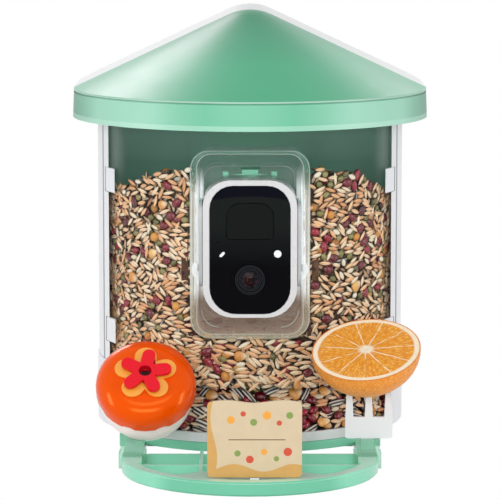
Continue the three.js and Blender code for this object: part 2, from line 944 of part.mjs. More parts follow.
const buttonBore = alongZ(
  disc(powerButton.x, powerButton.y, powerButton.radius + clearance),
  camera.bottomZ - overrun,
  sillTop + overrun,
);
const headPockets = screwPlaces.map(({ x, z }) => alongY(
  disc(x, z, caseScrew.headRadius + clearance),
  camera.rearY - caseScrew.headHeight - clearance,
  camera.rearY + overrun,
));
add('camera_rear_shell', cut(
  join(
    cut(
      alongY(caseOutline(0), camera.seamY + clearance / 2, camera.rearY),
      alongY(caseOutline(-camera.wall), camera.seamY - overrun, rearInner),
    ),
    ...rearPosts,
    sill,
  ),
  ...screwBores,
  ...headPockets,
  portMouth,
  flapRecess,
  buttonBore,
), palePlastic);
const sealInset = camera.wall + clearance;
add('camera_seal', cut(
  alongY(caseOutline(-sealInset), camera.seamY - gasket.reach, camera.seamY + gasket.reach),
  alongY(caseOutline(-sealInset - gasket.width), camera.seamY - overrun, camera.seamY + overrun),
), rubber);
screwPlaces.forEach(({ name, x, z }) => add(`camera_screw_${name}`, join(
  alongY(disc(x, z, caseScrew.radius), caseScrew.end, camera.rearY - clearance),
  alongY(disc(x, z, caseScrew.headRadius), camera.rearY - caseScrew.headHeight, camera.rearY - clearance),
), steel));

// Face of the camera: a gloss panel with its window, lens and small openings
const motionOutline = (margin) => panel(
  -motion.halfWidth - margin,
  motion.halfWidth + margin,
  motion.bottomZ - margin,
  motion.topZ + margin,
  motion.bottomCorner + margin,
  motion.topCorner + margin,
);
const pill = (margin) => {
  const half = lightSensor.width / 2 + margin;
  const reach = lightSensor.length / 2 + margin;
  const middle = new THREE.Vector2(lightSensor.x, lightSensor.z);
  const points = panel(-reach, reach, -half, half, half).getPoints();
  return new THREE.Shape(points.map(
    (point) => point.rotateAround(new THREE.Vector2(), lightSensor.turn).add(middle),
  ));
};
const throughFace = [camera.frontY - overrun, faceBack + overrun];
add('camera_face', cut(
  alongY(faceOutline(0), camera.frontY, faceBack),
  alongY(motionOutline(clearance), ...throughFace),
  alongY(disc(0, lens.z, lens.bowlRadius), camera.frontY - overrun, camera.frontY + lens.bowlDepth),
  alongY(disc(0, lens.z, lens.ringRadius + clearance), ...throughFace),
  alongY(disc(statusLight.x, statusLight.z, statusLight.radius + clearance), ...throughFace),
  alongY(pill(clearance), ...throughFace),
  alongY(disc(soundHole.x, soundHole.z, soundHole.radius), ...throughFace),
), blackGloss);
add('motion_window', alongY(
  motionOutline(0),
  camera.frontY - motion.proud,
  camera.frontY + motion.depth,
), blackSatin);
const ledgeY = boardFront - clearance;
add('motion_sensor', alongY(
  disc(0, motionSensor.z, motionSensor.radius),
  ledgeY - motionSensor.length,
  ledgeY,
), steel);
const statusFront = camera.frontY - statusLight.proud;
add('status_light', alongY(
  disc(statusLight.x, statusLight.z, statusLight.radius),
  statusFront,
  statusFront + statusLight.length,
), palePlastic);
add('light_sensor', alongY(pill(0), camera.frontY, faceBack), palePlastic);

// Lens: a ring, a barrel on the image sensor and a domed front glass
const ringFront = camera.frontY + lens.ringSet;
const chipFront = ledgeY - chip.depth;
add('lens_ring', cut(
  alongY(disc(0, lens.z, lens.ringRadius), ringFront, chipFront - clearance),
  alongY(disc(0, lens.z, lens.barrelRadius + clearance), ringFront - overrun, chipFront + overrun),
), blackSatin);
const barrelFront = camera.frontY + lens.barrelSet;
add('lens_barrel', cut(
  alongY(disc(0, lens.z, lens.barrelRadius), barrelFront, chipFront - clearance),
  alongY(
    disc(0, lens.z, lens.glassRadius + clearance),
    barrelFront - overrun,
    barrelFront + lens.glassSeat + clearance,
  ),
), blackSatin);
const glassBall = (lens.glassRadius ** 2 + lens.glassCrown ** 2) / (2 * lens.glassCrown);
const glassHalf = Math.asin(lens.glassRadius / glassBall);
const glassProfile = [
  new THREE.Vector2(0, -lens.glassSeat),
  new THREE.Vector2(lens.glassRadius, -lens.glassSeat),
  ...arc(0, lens.glassCrown - glassBall, glassBall, Math.PI / 2 - glassHalf, Math.PI / 2),
].map((point) => [Math.max(point.x, 0), point.y]);
glassProfile[glassProfile.length - 1][0] = 0;
const glassPlace = new THREE.Matrix4().makeTranslation(0, barrelFront, lens.z)
  .multiply(new THREE.Matrix4().makeRotationX(Math.PI / 2));
add('lens_glass', placed(turned(glassProfile, around(lens.glassRadius)), glassPlace), blackGloss);

// Electronics
add('main_board', cut(
  alongY(
    panel(-board.halfWidth, board.halfWidth, board.bottomZ, board.topZ, board.corner),
    boardFront,
    boardBack,
  ),
  ...screwBores,
), boardGreen);
add('image_sensor', block(
  [-chip.halfWidth, chip.halfWidth],
  [chipFront, ledgeY],
  [lens.z - chip.halfWidth, lens.z + chip.halfWidth],
), blackSatin);
add('battery_cell', alongZ(
  disc(battery.x, rearInner - clearance - battery.radius, battery.radius),
  battery.bottomZ,
  battery.bottomZ + battery.length,
), cellBlue);
const speakerFront = boardBack + clearance;
const speakerBack = speakerFront + speaker.depth;
add('speaker', join(
  alongY(disc(speaker.x, speaker.z, speaker.radius), speakerFront, speakerBack),
  alongY(disc(speaker.x, speaker.z, speaker.magnetRadius), speakerFront, speakerBack + speaker.magnetDepth),
), blackSatin);
add('charging_port', block(
  [port.x - port.halfWidth + clearance, port.x + port.halfWidth - clearance],
  [port.y - port.depth / 2, port.y + port.depth / 2],
  [sillTop - clearance, sillTop - clearance + port.height],
), steel);
add('port_flap', join(
  flapPlate(0),
  block(
    [port.x - flap.plugHalfWidth, port.x + flap.plugHalfWidth],
    [port.y - flap.plugDepth / 2, port.y + flap.plugDepth / 2],
    [flapZ, flapZ + flap.wall / 2 + flap.plugHeight],
  ),
), rubber);
const buttonFoot = camera.bottomZ - powerButton.proud;
const buttonTop = sillTop + clearance + powerButton.flangeHeight;
add('power_button', join(
  alongZ(disc(powerButton.x, powerButton.y, powerButton.radius), buttonFoot, buttonTop),
  alongZ(disc(powerButton.x, powerButton.y, powerButton.flangeRadius), sillTop + clearance, buttonTop),
), rubber);

// Cradle: a back plate with two arms beside the camera, on knobs that turn in the pocket's walls
const armOuter = cradle.innerHalf + cradle.wall;
const cradleBack = camera.rearY + clearance;
const plateBack = cradleBack + cradle.plateWall;
const armSide = outline([
  [cradle.frontY, cradle.bottomZ, cradle.armCorner],
  [plateBack, cradle.bottomZ, 0],
  [plateBack, cradle.topZ, 0],
  [cradle.frontY, cradle.topZ, cradle.armCorner],
]);
const cradleArms = sides.map(([, side]) => alongX(
  armSide,
  side < 0 ? -armOuter : cradle.innerHalf,
  side < 0 ? -cradle.innerHalf : armOuter,
));
const cradlePlate = cut(
  alongY(panel(-armOuter, armOuter, cradle.bottomZ, cradle.topZ, 0), cradleBack, plateBack),
  alongY(panel(
    -cradle.windowHalf,
    cradle.windowHalf,
    cradle.bottomZ + cradle.windowMargin,
    cradle.topZ - cradle.windowMargin,
    cradle.corner,
  ), cradleBack - overrun, plateBack + overrun),
);
const stemTip = armOuter - cradle.wall / 2;
const stemBores = sides.map(([, side]) => {
  const [low, high] = [side * (stemTip - clearance), side * (armOuter + overrun)];
  const reach = [Math.min(low, high), Math.max(low, high)];
  return alongX(disc(knob.y, knob.z, knob.stemRadius + clearance), ...reach);
});
add('camera_cradle', cut(join(cradlePlate, ...cradleArms), ...stemBores), palePlastic);
const headInner = pocket.halfWidth + pocket.wall + clearance;
sides.forEach(([name, side]) => {
  const span = (low, high) => (side < 0 ? [-high, -low] : [low, high]);
  add(`pivot_knob_${name}`, join(
    alongX(disc(knob.y, knob.z, knob.stemRadius), ...span(stemTip, headInner + knob.length / 2)),
    alongX(disc(knob.y, knob.z, knob.radius), ...span(headInner, headInner + knob.length)),
  ), palePlastic);
});

// Green latch bracket that rises behind the camera, with a tab and two pins
const bracketBack = cradleBack + bracket.wall;
const crownArc = ((bracket.crownHalfWidth ** 2) / (bracket.crownZ - bracket.shoulderZ)) * 2;
const bracketPlate = alongY(outline([
  [-bracket.halfWidth, bracket.bottomZ, bracket.pinHalfWidth],
  [bracket.halfWidth, bracket.bottomZ, bracket.pinHalfWidth],
  [bracket.halfWidth, bracket.shoulderZ, bracket.pinHalfWidth],
  [bracket.crownHalfWidth, bracket.crownZ, crownArc],
  [-bracket.crownHalfWidth, bracket.crownZ, crownArc],
  [-bracket.halfWidth, bracket.shoulderZ, bracket.pinHalfWidth],
]), cradleBack, bracketBack);
const bracketTab = block(
  [-bracket.tabHalfWidth, bracket.tabHalfWidth],
  [cradleBack, cradleBack + bracket.tabDepth],
  [bracket.shoulderZ, bracket.tabTop],
);
const bracketPins = sides.map(([, side]) => block(
  [side * bracket.pinX - bracket.pinHalfWidth, side * bracket.pinX + bracket.pinHalfWidth],
  [cradleBack, bracketBack + bracket.pinReach],
  [bracket.shoulderZ - 2 * bracket.pinHalfWidth, bracket.pinTop],
));
add('camera_bracket', join(bracketPlate, bracketTab, ...bracketPins), mint);

// Tray: a shallow dish with raised cheeks at the sides, sills for the window and bosses for the foot screws
const screwRows = [['front', footScrew.frontY], ['rear', footScrew.rearY]];
const screwSpots = sides.flatMap(([name, side]) => screwRows.map(
  ([row, y]) => ({ name: `${name}_${row}`, x: side * footScrew.x, y }),
));
const trayPlan = (inset) => plan(
  tray.radius - inset,
  hopper.back + clearance - inset,
  hopper.rearCorner - inset,
);
const trayDish = cut(
  alongZ(trayPlan(0), tray.bottom, hopper.cheekTop),
  alongZ(trayPlan(tray.wall), tray.bottom + tray.floor, hopper.cheekTop + overrun),
  alongY(panel(
    -frameEdgeX,
    frameEdgeX,
    tray.rim,
    hopper.cheekTop + 2 * overrun,
    tray.openingCorner,
    0,
  ), -roof.radius, -tray.openingCorner),
  block([-roof.radius, roof.radius], [hopper.joint, roof.back], [tray.rearRim, hopper.cheekTop + overrun]),
  block(
    [-frameEdgeX, frameEdgeX],
    [-tray.openingCorner - overrun, roof.back],
    [tray.rearRim, hopper.cheekTop + overrun],
  ),
);
const sills = sides.map(([, side]) => curvedWall(
  glazingInner,
  tray.radius - tray.wall / 2,
  Math.min(side * tray.sillFrom, side * tray.sillTo),
  Math.max(side * tray.sillFrom, side * tray.sillTo),
  glazing.bottom - clearance - tray.sillDepth,
  glazing.bottom - clearance,
));
const trayBosses = screwSpots.map(({ x, y }) => alongZ(
  disc(x, y, footScrew.bossRadius),
  tray.bottom + tray.floor / 2,
  footScrew.bossTop,
));
const deckTop = tray.bottom - clearance;
const deckUnder = deckTop - base.deck;
const screwHoles = screwSpots.map(({ x, y }) => alongZ(
  disc(x, y, footScrew.radius + clearance),
  deckUnder - overrun,
  footScrew.tip + clearance,
));
const drains = Array.from({ length: tray.drains }, (_, step) => {
  const angle = -Math.PI * ((step + 1) / (tray.drains + 1));
  return alongZ(
    disc(tray.drainRing * Math.cos(angle), tray.drainRing * Math.sin(angle), tray.drainRadius),
    tray.bottom - overrun,
    tray.bottom + 2 * overrun,
  );
});
add('tray', cut(join(trayDish, ...sills, ...trayBosses), ...screwHoles, ...drains), palePlastic);

// Ramp inside the hopper that sends the seed forward
const rampLow = tray.bottom + tray.floor + clearance;
const rampBack = hopper.back - hopper.wall - clearance;
const rampPlan = plan(hopperInner - clearance, rampBack, hopper.rearCorner - hopper.wall);
const rampSection = (lift) => new THREE.Shape([
  new THREE.Vector2(ramp.frontY - lift, rampLow - lift),
  new THREE.Vector2(rampBack + lift, rampLow - lift),
  new THREE.Vector2(rampBack + lift, ramp.rearZ + lift),
  new THREE.Vector2(ramp.frontY - lift, rampLow + ramp.wall / 2 + lift),
]);
const rampWedge = (lift) => alongX(rampSection(lift), -hopper.radius, hopper.radius);
const rampHollow = alongX(new THREE.Shape([
  new THREE.Vector2(ramp.frontY + 2 * ramp.wall, rampLow - overrun),
  new THREE.Vector2(rampBack - ramp.wall, rampLow - overrun),
  new THREE.Vector2(rampBack - ramp.wall, ramp.rearZ - 2 * ramp.wall),
  new THREE.Vector2(ramp.frontY + 2 * ramp.wall, rampLow),
]), -hopper.radius, hopper.radius);
const bossRoom = screwSpots.map(({ x, y }) => alongZ(
  disc(x, y, footScrew.bossRadius + clearance),
  rampLow - overrun,
  footScrew.bossTop + clearance,
));
add('seed_ramp', cut(
  common(rampWedge(0), alongZ(rampPlan, rampLow, ramp.rearZ + overrun)),
  rampHollow,
  ...bossRoom,
), mint);

// Seed: a heap on the tray that slopes out to the lip, and the store above it in the hopper
const seedLow = tray.bottom + tray.floor + clearance;
const seedSplit = glazing.bottom;
const seedPlan = plan(seed.footRadius, rampBack, hopper.rearCorner - hopper.wall);
const heapSection = [
  [seed.footRadius, seedLow],
  [seed.footRadius, seed.footZ],
  [seed.headRadius, seedSplit],
];
const heapFront = turned([[0, seedLow], ...heapSection, [0, seedSplit]], around(seed.footRadius));
const heapBehind = alongY(new THREE.Shape([
  ...heapSection.map(([x, z]) => new THREE.Vector2(x, z)),
  ...heapSection.map(([x, z]) => new THREE.Vector2(-x, z)).reverse(),
]), 0, rampBack);
const seedBosses = screwSpots.map(({ x, y }) => alongZ(
  disc(x, y, footScrew.bossRadius + seed.gap),
  seedLow - overrun,
  footScrew.bossTop + seed.gap,
));
add('tray_seed', cut(
  join(
    common(heapFront, block([-roof.radius, roof.radius], [-roof.radius, 0], [seedLow, seedSplit])),
    common(heapBehind, alongZ(seedPlan, seedLow, seedSplit)),
  ),
  rampWedge(clearance),
  ...seedBosses,
), seedTan);
const seedRoom = (half, low, high, rear) => block(
  [-half - seed.gap, half + seed.gap],
  [-roof.radius, rear + seed.gap],
  [low - seed.gap, high + seed.gap],
);
const knobReach = headInner + knob.length + seed.gap;
const moundTop = Array.from({ length: curveSteps + 1 }, (_, step) => {
  const across = 1 - (2 * step) / curveSteps;
  return new THREE.Vector2(across * seed.footRadius, seed.top - seed.fall * across ** 2);
});
const mound = alongY(new THREE.Shape([
  new THREE.Vector2(-seed.footRadius, seedSplit),
  new THREE.Vector2(seed.footRadius, seedSplit),
  ...moundTop,
]), -seed.footRadius - overrun, rampBack + overrun);
const bankEnd = rampBack + overrun;
const bank = alongX(new THREE.Shape([
  new THREE.Vector2(-seed.footRadius, seedSplit),
  new THREE.Vector2(bankEnd, seedSplit),
  new THREE.Vector2(bankEnd, seed.top - (seed.footRadius + bankEnd) * Math.tan(seed.bank)),
  new THREE.Vector2(-seed.footRadius, seed.top),
]), -hopper.radius, hopper.radius);
add('hopper_seed', cut(
  common(alongZ(seedPlan, seedSplit + clearance, seed.top), mound, bank),
  seedRoom(
    pocket.flangeHalfWidth,
    pocket.floorZ - pocket.flangeRise,
    pocket.topZ + pocket.flangeRise,
    pocket.flangeY + 2 * pocket.flangeWall,
  ),
  seedRoom(
    pocket.halfWidth + pocket.wall,
    pocket.floorZ - pocket.wall,
    pocket.topZ + pocket.wall,
    pocket.stepY + pocket.wall,
  ),
  seedRoom(
    pocket.backHalfWidth + pocket.wall,
    pocket.backFloorZ - pocket.wall,
    pocket.backTopZ + pocket.wall,
    pocket.backY + pocket.wall,
  ),
  alongX(disc(knob.y, knob.z, knob.radius + seed.gap), -knobReach, knobReach),
), seedTan);

// Base: a hollow foot under the tray with a solid pad, a boss for the threaded insert and two arm sockets
const armHigh = perch.armOuter + clearance;
const armLow = perch.armInner - clearance;
const basePanel = (inset) => panel(
  inset - base.halfWidth,
  base.halfWidth - inset,
  base.frontY + inset,
  base.backY - inset,
  base.frontCorner - inset,
  base.backCorner - inset,
);
const socketOuter = sides.map(([, side]) => {
  const [low, high] = [side * (armLow - base.socketWall), side * base.halfWidth];
  return block(
    [Math.min(low, high), Math.max(low, high)],
    [base.frontY, perch.armEndY + clearance + base.socketWall],
    [0, deckTop],
  );
});
const socketInner = sides.map(([, side]) => {
  const [low, high] = [side * armLow, side * armHigh];
  return block(
    [Math.min(low, high), Math.max(low, high)],
    [base.frontY - overrun, perch.armEndY + clearance],
    [-overrun, perch.height + clearance],
  );
});
const insertBore = join(
  alongZ(disc(0, base.bossY, insert.radius + clearance), -overrun, insert.recess + insert.length + clearance),
  alongZ(
    disc(0, base.bossY, insert.collarRadius + clearance),
    -overrun,
    insert.recess + insert.collarHeight + clearance,
  ),
);
add('base_foot', cut(
  join(
    cut(alongZ(basePanel(0), 0, deckTop), alongZ(basePanel(base.wall), -overrun, deckUnder)),
    block([-base.padHalfWidth, base.padHalfWidth], [-base.padHalfDepth, base.padHalfDepth], [0, deckTop]),
    alongZ(disc(0, base.bossY, base.bossRadius), 0, deckTop),
    ...socketOuter,
  ),
  ...socketInner,
  insertBore,
  ...screwHoles,
), mint);
add('threaded_insert', cut(
  join(
    alongZ(disc(0, base.bossY, insert.radius), insert.recess, insert.recess + insert.length),
    alongZ(disc(0, base.bossY, insert.collarRadius), insert.recess, insert.recess + insert.collarHeight),
  ),
  alongZ(disc(0, base.bossY, insert.bore), -overrun, insert.length + overrun),
), brass);
screwSpots.forEach(({ name, x, y }) => add(`foot_screw_${name}`, join(
  alongZ(disc(x, y, footScrew.radius), deckUnder - clearance - footScrew.headHeight, footScrew.tip),
  alongZ(
    disc(x, y, footScrew.headRadius),
    deckUnder - clearance - footScrew.headHeight,
    deckUnder - clearance,
  ),
), steel));

// Perch
function bow(inset) {
  const halfWidth = perch.halfWidth - inset;
  const depth = perch.bow - inset;
  return Array.from({ length: curveSteps + 1 }, (_, step) => {
    const angle = -Math.PI + (Math.PI * step) / curveSteps;
    return new THREE.Vector2(halfWidth * Math.cos(angle), perch.bowY + depth * Math.sin(angle));
  });
}
const bowSolid = (inset, low, high) => alongZ(new THREE.Shape(bow(inset)), low, high);
const ring = cut(
  join(bowSolid(0, perch.edge, perch.height - perch.edge), bowSolid(perch.edge, 0, perch.height)),
  bowSolid(perch.ringWidth, -overrun, perch.height + overrun),
);
const bowEnd = perch.bowY - perch.ringWidth;
const inBow = bowSolid(perch.edge, -overrun, perch.height + overrun);
const arms = sides.map(([, side]) => {
  const [low, high] = [side * perch.armInner, side * perch.armOuter];
  const arm = [Math.min(low, high), Math.max(low, high)];
  return join(
    block(arm, [perch.bowY, perch.armEndY], [0, perch.height]),
    common(block(arm, [2 * bowEnd - perch.bowY, perch.bowY], [0, perch.height]), inBow),
  );
});
const ribs = perch.ribYs.map((y) => block(
  [-armMiddle, armMiddle],
  [y - perch.ribWall / 2, y + perch.ribWall / 2],
  [0, perch.ribHeight],
));
const spines = sides.map(([, side]) => block(
  [side * perch.spineX - perch.ribWall / 2, side * perch.spineX + perch.ribWall / 2],
  [perch.platformBackY - perch.ribWall, perch.ribWall - perch.barInner],
  [0, perch.ribHeight],
));
const barAngle = Math.asin(armMiddle / perch.barOuter);
const bar = curvedWall(
  perch.barInner,
  perch.barOuter,
  -barAngle,
  barAngle,
  perch.barBottom,
  tray.bottom - clearance,
);
const platform = common(
  alongZ(outline([
    [-perch.platformHalfBack, perch.platformBackY],
    [-perch.platformHalfFront, perch.platformFrontY],
    [-perch.platformHalfFront, perch.bowY - perch.bow],
    [perch.platformHalfFront, perch.bowY - perch.bow],
    [perch.platformHalfFront, perch.platformFrontY],
    [perch.platformHalfBack, perch.platformBackY],
  ]), perch.platformTop - perch.platformWall, perch.platformTop),
  bowSolid(perch.edge, 0, perch.height),
);
const signBack = sign.y + sign.wall / 2;
const clipBack = signBack + clearance + sign.clipWall;
const clipHalf = sign.clipWidth / 2;
const clipSlot = block(
  [sign.x - clipHalf - clearance, sign.x + clipHalf + clearance],
  [sign.y - sign.wall / 2 - clearance, clipBack + clearance],
  [-overrun, perch.height + overrun],
);
add('perch', cut(join(ring, ...arms, ...ribs, ...spines, bar, platform), clipSlot), mint);

// Sign on a clip that stands in the slot of the platform
const signTop = sign.bottom + sign.height;
const signHalf = sign.width / 2;
const waveTop = Array.from({ length: curveSteps + 1 }, (_, step) => {
  const part = step / curveSteps;
  const across = signHalf - sign.corner - part * (sign.width - 2 * sign.corner);
  const ripple = sign.ripple * Math.sin(part * sign.halfWaves * Math.PI);
  return new THREE.Vector2(sign.x + across, signTop + ripple);
});
const signLow = sign.bottom + sign.corner;
const [signLeft, signRight] = [sign.x - signHalf + sign.corner, sign.x + signHalf - sign.corner];
const signOutline = new THREE.Shape([
  ...arc(signLeft, signLow, sign.corner, -Math.PI, -Math.PI / 2),
  ...arc(signRight, signLow, sign.corner, -Math.PI / 2, 0),
  ...arc(signRight, signTop - sign.corner, sign.corner, 0, Math.PI / 2).slice(0, -1),
  ...waveTop,
  ...arc(signLeft, signTop - sign.corner, sign.corner, Math.PI / 2, Math.PI).slice(1),
]);
add('sign_plate', alongY(signOutline, sign.y - sign.wall / 2, signBack), signCream);
add('sign_clip', alongX(new THREE.Shape([
  new THREE.Vector2(clipBack, sign.clipFoot),
  new THREE.Vector2(clipBack, sign.clipTop),
  new THREE.Vector2(signBack + clearance, sign.clipTop),
  new THREE.Vector2(signBack + clearance, sign.bottom - clearance),
  new THREE.Vector2(sign.y - sign.wall / 2, sign.bottom - clearance),
  new THREE.Vector2(sign.y - sign.wall / 2, sign.clipStep),
  new THREE.Vector2(signBack + clearance, sign.clipStep),
  new THREE.Vector2(signBack + clearance, sign.clipFoot),
]), sign.x - clipHalf, sign.x + clipHalf), palePlastic);

// Saddles that straddle the arms of the perch
function saddleBody(side, top) {
  const middle = side * armMiddle;
  const inner = (perch.armOuter - perch.armInner) / 2 + saddle.gap;
  const along = [saddle.y - saddle.length / 2, saddle.y + saddle.length / 2];
  const deck = perch.height + clearance;
  return join(
    block([middle - inner - saddle.wall, middle + inner + saddle.wall], along, [deck, deck + saddle.wall]),
    ...[-1, 1].map((end) => {
      const [low, high] = [middle + end * inner, middle + end * (inner + saddle.wall)];
      const leg = [Math.min(low, high), Math.max(low, high)];
      return block(leg, along, [saddle.legBottom, deck + saddle.wall / 2]);
    }),
    block(
      [middle - saddle.neckHalfWidth, middle + saddle.neckHalfWidth],
      along,
      [deck + saddle.wall / 2, top],
    ),
  );
}

// Fruit fork: a flat base with three tapered tines, and a tongue that stands in its saddle
const tine = (offset, margin) => alongY(outline([
  [fork.x + offset - fork.tineRootWidth / 2 - margin, fork.baseTop - fork.baseCorner],
  [fork.x + offset + fork.tineRootWidth / 2 + margin, fork.baseTop - fork.baseCorner],
  [fork.x + offset + fork.tineTipWidth / 2 + margin, fork.tineTop + margin],
  [fork.x + offset - fork.tineTipWidth / 2 - margin, fork.tineTop + margin],
]), fork.y - fork.wall / 2 - margin, fork.y + fork.wall / 2 + margin);
const tineOffsets = [-fork.tinePitch, 0, fork.tinePitch];
const tongue = (margin) => block(
  [armMiddle - fork.tongueWidth / 2 - margin, armMiddle + fork.tongueWidth / 2 + margin],
  [fork.y - fork.tongueWall / 2 - margin, fork.y + fork.tongueWall / 2 + margin],
  [fork.baseBottom - fork.tongueDepth - margin, fork.baseBottom + fork.baseCorner],
);
add('fork_clip', cut(saddleBody(1, fork.baseBottom - clearance), tongue(clearance)), clipGreen);
add('fruit_fork', join(
  alongY(panel(
    fork.x - fork.width / 2,
    fork.x + fork.width / 2,
    fork.baseBottom,
    fork.baseTop,
    fork.baseCorner,
    0,
  ), fork.y - fork.wall / 2, fork.y + fork.wall / 2),
  ...tineOffsets.map((offset) => tine(offset, 0)),
  tongue(0),
), palePlastic);

// Half an orange, with the slots that the tines make
const orangeProfile = Array.from({ length: coarseSteps + 1 }, (_, step) => {
  const angle = (Math.PI / 2) * (step / coarseSteps);
  return [step === 0 ? 0 : orange.radius * Math.sin(angle), -orange.depth * Math.cos(angle)];
});
orangeProfile[coarseSteps][1] = 0;
const orangePlace = new THREE.Matrix4().makeTranslation(orange.x, orange.y, orange.z)
  .multiply(new THREE.Matrix4().makeRotationY(-orange.roll))
  .multiply(new THREE.Matrix4().makeRotationX(orange.tilt));
add('orange_half', cut(
  placed(turned([...orangeProfile, [0, 0]], around(orange.radius)), orangePlace),
  ...tineOffsets.map((offset) => tine(offset, orange.tineGap)),
), orangePeel);

// Nectar dish: its own frame has +Z out of the lid and +Y up the lid
const dishAxis = new THREE.Vector3(0, -Math.cos(dish.elevation), Math.sin(dish.elevation));
const dishAcross = new THREE.Vector3(1, 0, 0);
const dishPlace = new THREE.Matrix4()
  .makeBasis(dishAcross, dishAxis.clone().cross(dishAcross), dishAxis)
  .setPosition(dish.x, dish.y, dish.z);
const inDish = (body) => placed(body, dishPlace);
const bowlArc = (radius, rimZ) => {
  const end = Math.asin((rimZ + dish.bowlSink) / radius);
  return arc(0, -dish.bowlSink, radius, -Math.PI / 2, end).map((point) => [point.x, point.y]);
};
const bowlOuter = bowlArc(dish.bowlRadius, dish.bowlRim);
const bowlInner = bowlArc(dish.bowlRadius - dish.bowlWall, dish.bowlRim).reverse();
bowlOuter[0][0] = 0;
bowlInner[bowlInner.length - 1][0] = 0;
add('nectar_bowl', inDish(turned([...bowlOuter, ...bowlInner], around(dish.bowlRadius))), palePlastic);

const bowlCentre = new THREE.Vector3(0, 0, -dish.bowlSink).applyMatrix4(dishPlace);
const bowlBall = placed(
  solid(new THREE.SphereGeometry(dish.bowlRadius + clearance, ballSteps, curveSteps)),
  new THREE.Matrix4().setPosition(bowlCentre),
);
add('dish_clip', cut(saddleBody(-1, saddle.dishTop), bowlBall), clipGreen);

const shoulder = (minor) => arc(dish.lidMajor, 0, minor, 0, Math.PI / 2).map((point) => [point.x, point.y]);
const lidOuter = dish.lidMajor + dish.lidMinor;
const lidInner = dish.lidMinor - dish.lidWall;
const scallops = Array.from({ length: dish.waves }, (_, step) => {
  const angle = (2 * Math.PI * (step + dish.waveTurn)) / dish.waves;
  const radius = (Math.PI * lidOuter) / dish.waves / 2;
  const depth = dish.lidSkirt + dish.waveDepth - radius;
  return placed(
    alongX(disc(0, depth, radius), dish.lidMajor, lidOuter + overrun),
    new THREE.Matrix4().makeRotationZ(angle),
  );
});
const portHole = alongZ(disc(0, 0, dish.portRadius), 0, dish.lidMinor * 2);
add('nectar_lid', inDish(cut(
  turned([
    [0, lidInner],
    ...shoulder(lidInner).reverse(),
    [dish.lidMajor + lidInner, dish.lidSkirt],
    [lidOuter, dish.lidSkirt],
    ...shoulder(dish.lidMinor),
    [0, dish.lidMinor],
  ], around(lidOuter)),
  ...scallops,
  portHole,
)), lidOrange);

// Flowers round the feeding port
function flower(reach, petal, low, high, turn = 0) {
  const petals = Array.from({ length: blossom.petals }, (_, step) => placed(
    alongZ(panel(-petal, petal, 0, reach, 0, petal), low, high),
    new THREE.Matrix4().makeRotationZ(turn + (2 * Math.PI * step) / blossom.petals),
  ));
  return join(alongZ(disc(0, 0, petal * Math.SQRT2), low, high), ...petals);
}
const outerLow = dish.lidMinor + clearance;
const outerHigh = outerLow + blossom.outerWall;
const innerLow = outerHigh + clearance;
const innerHigh = innerLow + blossom.innerLift;
const flowerPort = alongZ(disc(0, 0, dish.portRadius), 0, innerHigh + overrun);
const stemRoom = alongZ(disc(0, 0, blossom.stemRadius + clearance), 0, innerHigh + overrun);
add('flower_outer', inDish(cut(
  flower(blossom.outerReach, blossom.outerPetal, outerLow, outerHigh),
  stemRoom,
)), flowerYellow);
add('flower_inner', inDish(cut(
  join(
    alongZ(disc(0, 0, blossom.stemRadius), outerLow, innerHigh),
    flower(
      blossom.innerReach,
      blossom.innerPetal,
      innerHigh - blossom.innerWall,
      innerHigh,
      blossom.innerTurn,
    ),
  ),
  flowerPort,
)), flowerRed);

export default group;
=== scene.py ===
import json
import math

import bmesh
import bpy
import numpy as np
from mathutils import Matrix, Vector

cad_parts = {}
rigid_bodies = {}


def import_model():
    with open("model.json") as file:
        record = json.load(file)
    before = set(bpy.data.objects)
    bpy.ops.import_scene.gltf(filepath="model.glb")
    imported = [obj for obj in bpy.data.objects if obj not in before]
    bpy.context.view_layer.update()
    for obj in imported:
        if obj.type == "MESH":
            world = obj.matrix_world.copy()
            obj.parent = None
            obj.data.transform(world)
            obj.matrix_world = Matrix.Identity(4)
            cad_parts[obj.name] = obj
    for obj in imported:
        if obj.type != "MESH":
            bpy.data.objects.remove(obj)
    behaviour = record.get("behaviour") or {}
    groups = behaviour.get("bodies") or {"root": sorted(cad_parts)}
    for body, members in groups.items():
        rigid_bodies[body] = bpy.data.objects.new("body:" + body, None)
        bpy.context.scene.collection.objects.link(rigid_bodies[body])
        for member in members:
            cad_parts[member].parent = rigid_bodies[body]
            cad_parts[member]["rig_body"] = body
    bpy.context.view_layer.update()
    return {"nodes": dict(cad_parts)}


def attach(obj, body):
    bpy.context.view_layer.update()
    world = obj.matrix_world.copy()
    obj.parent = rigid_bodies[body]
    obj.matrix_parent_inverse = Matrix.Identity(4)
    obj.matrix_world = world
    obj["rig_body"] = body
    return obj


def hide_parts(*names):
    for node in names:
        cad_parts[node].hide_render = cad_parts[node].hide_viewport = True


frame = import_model()

# Camera: stands two metres in front of the feeder at a little over the height of its roof and looks down
# on it by about eight degrees, through a long lens, as the photograph does.
EYE = (0, -2.0, 0.412)
LOOK_DOWN = 7.95
view = bpy.data.cameras.new("front_camera")
view.sensor_width = 36
view.lens = 202.5
camera = bpy.data.objects.new("front_camera", view)
camera.location = EYE
camera.rotation_euler = (math.radians(90 - LOOK_DOWN), 0, 0)
bpy.context.scene.collection.objects.link(camera)
bpy.context.scene.camera = camera

# Studio: a white floor and a white world, both pure white only to what looks straight at them. A wide lamp over
# the camera, a tall one at each side and a small one above light the feeder, and two faintly pink ones behind
# give the roof its soft gleam.
FLOOR_REACH = 4
FLOOR_DROP = 0.0002
SKY_LIGHT, SKY_SEEN = 0.44, 1.0
WHITE = (1, 1, 1, 1)
PINKISH = (1, 0.8, 0.92)
FEEDER_MIDDLE = (0, -0.05, 0.15)
ROOF_MIDDLE = (0, 0, 0.28)
scene = bpy.context.scene
scene.view_settings.view_transform = "Standard"


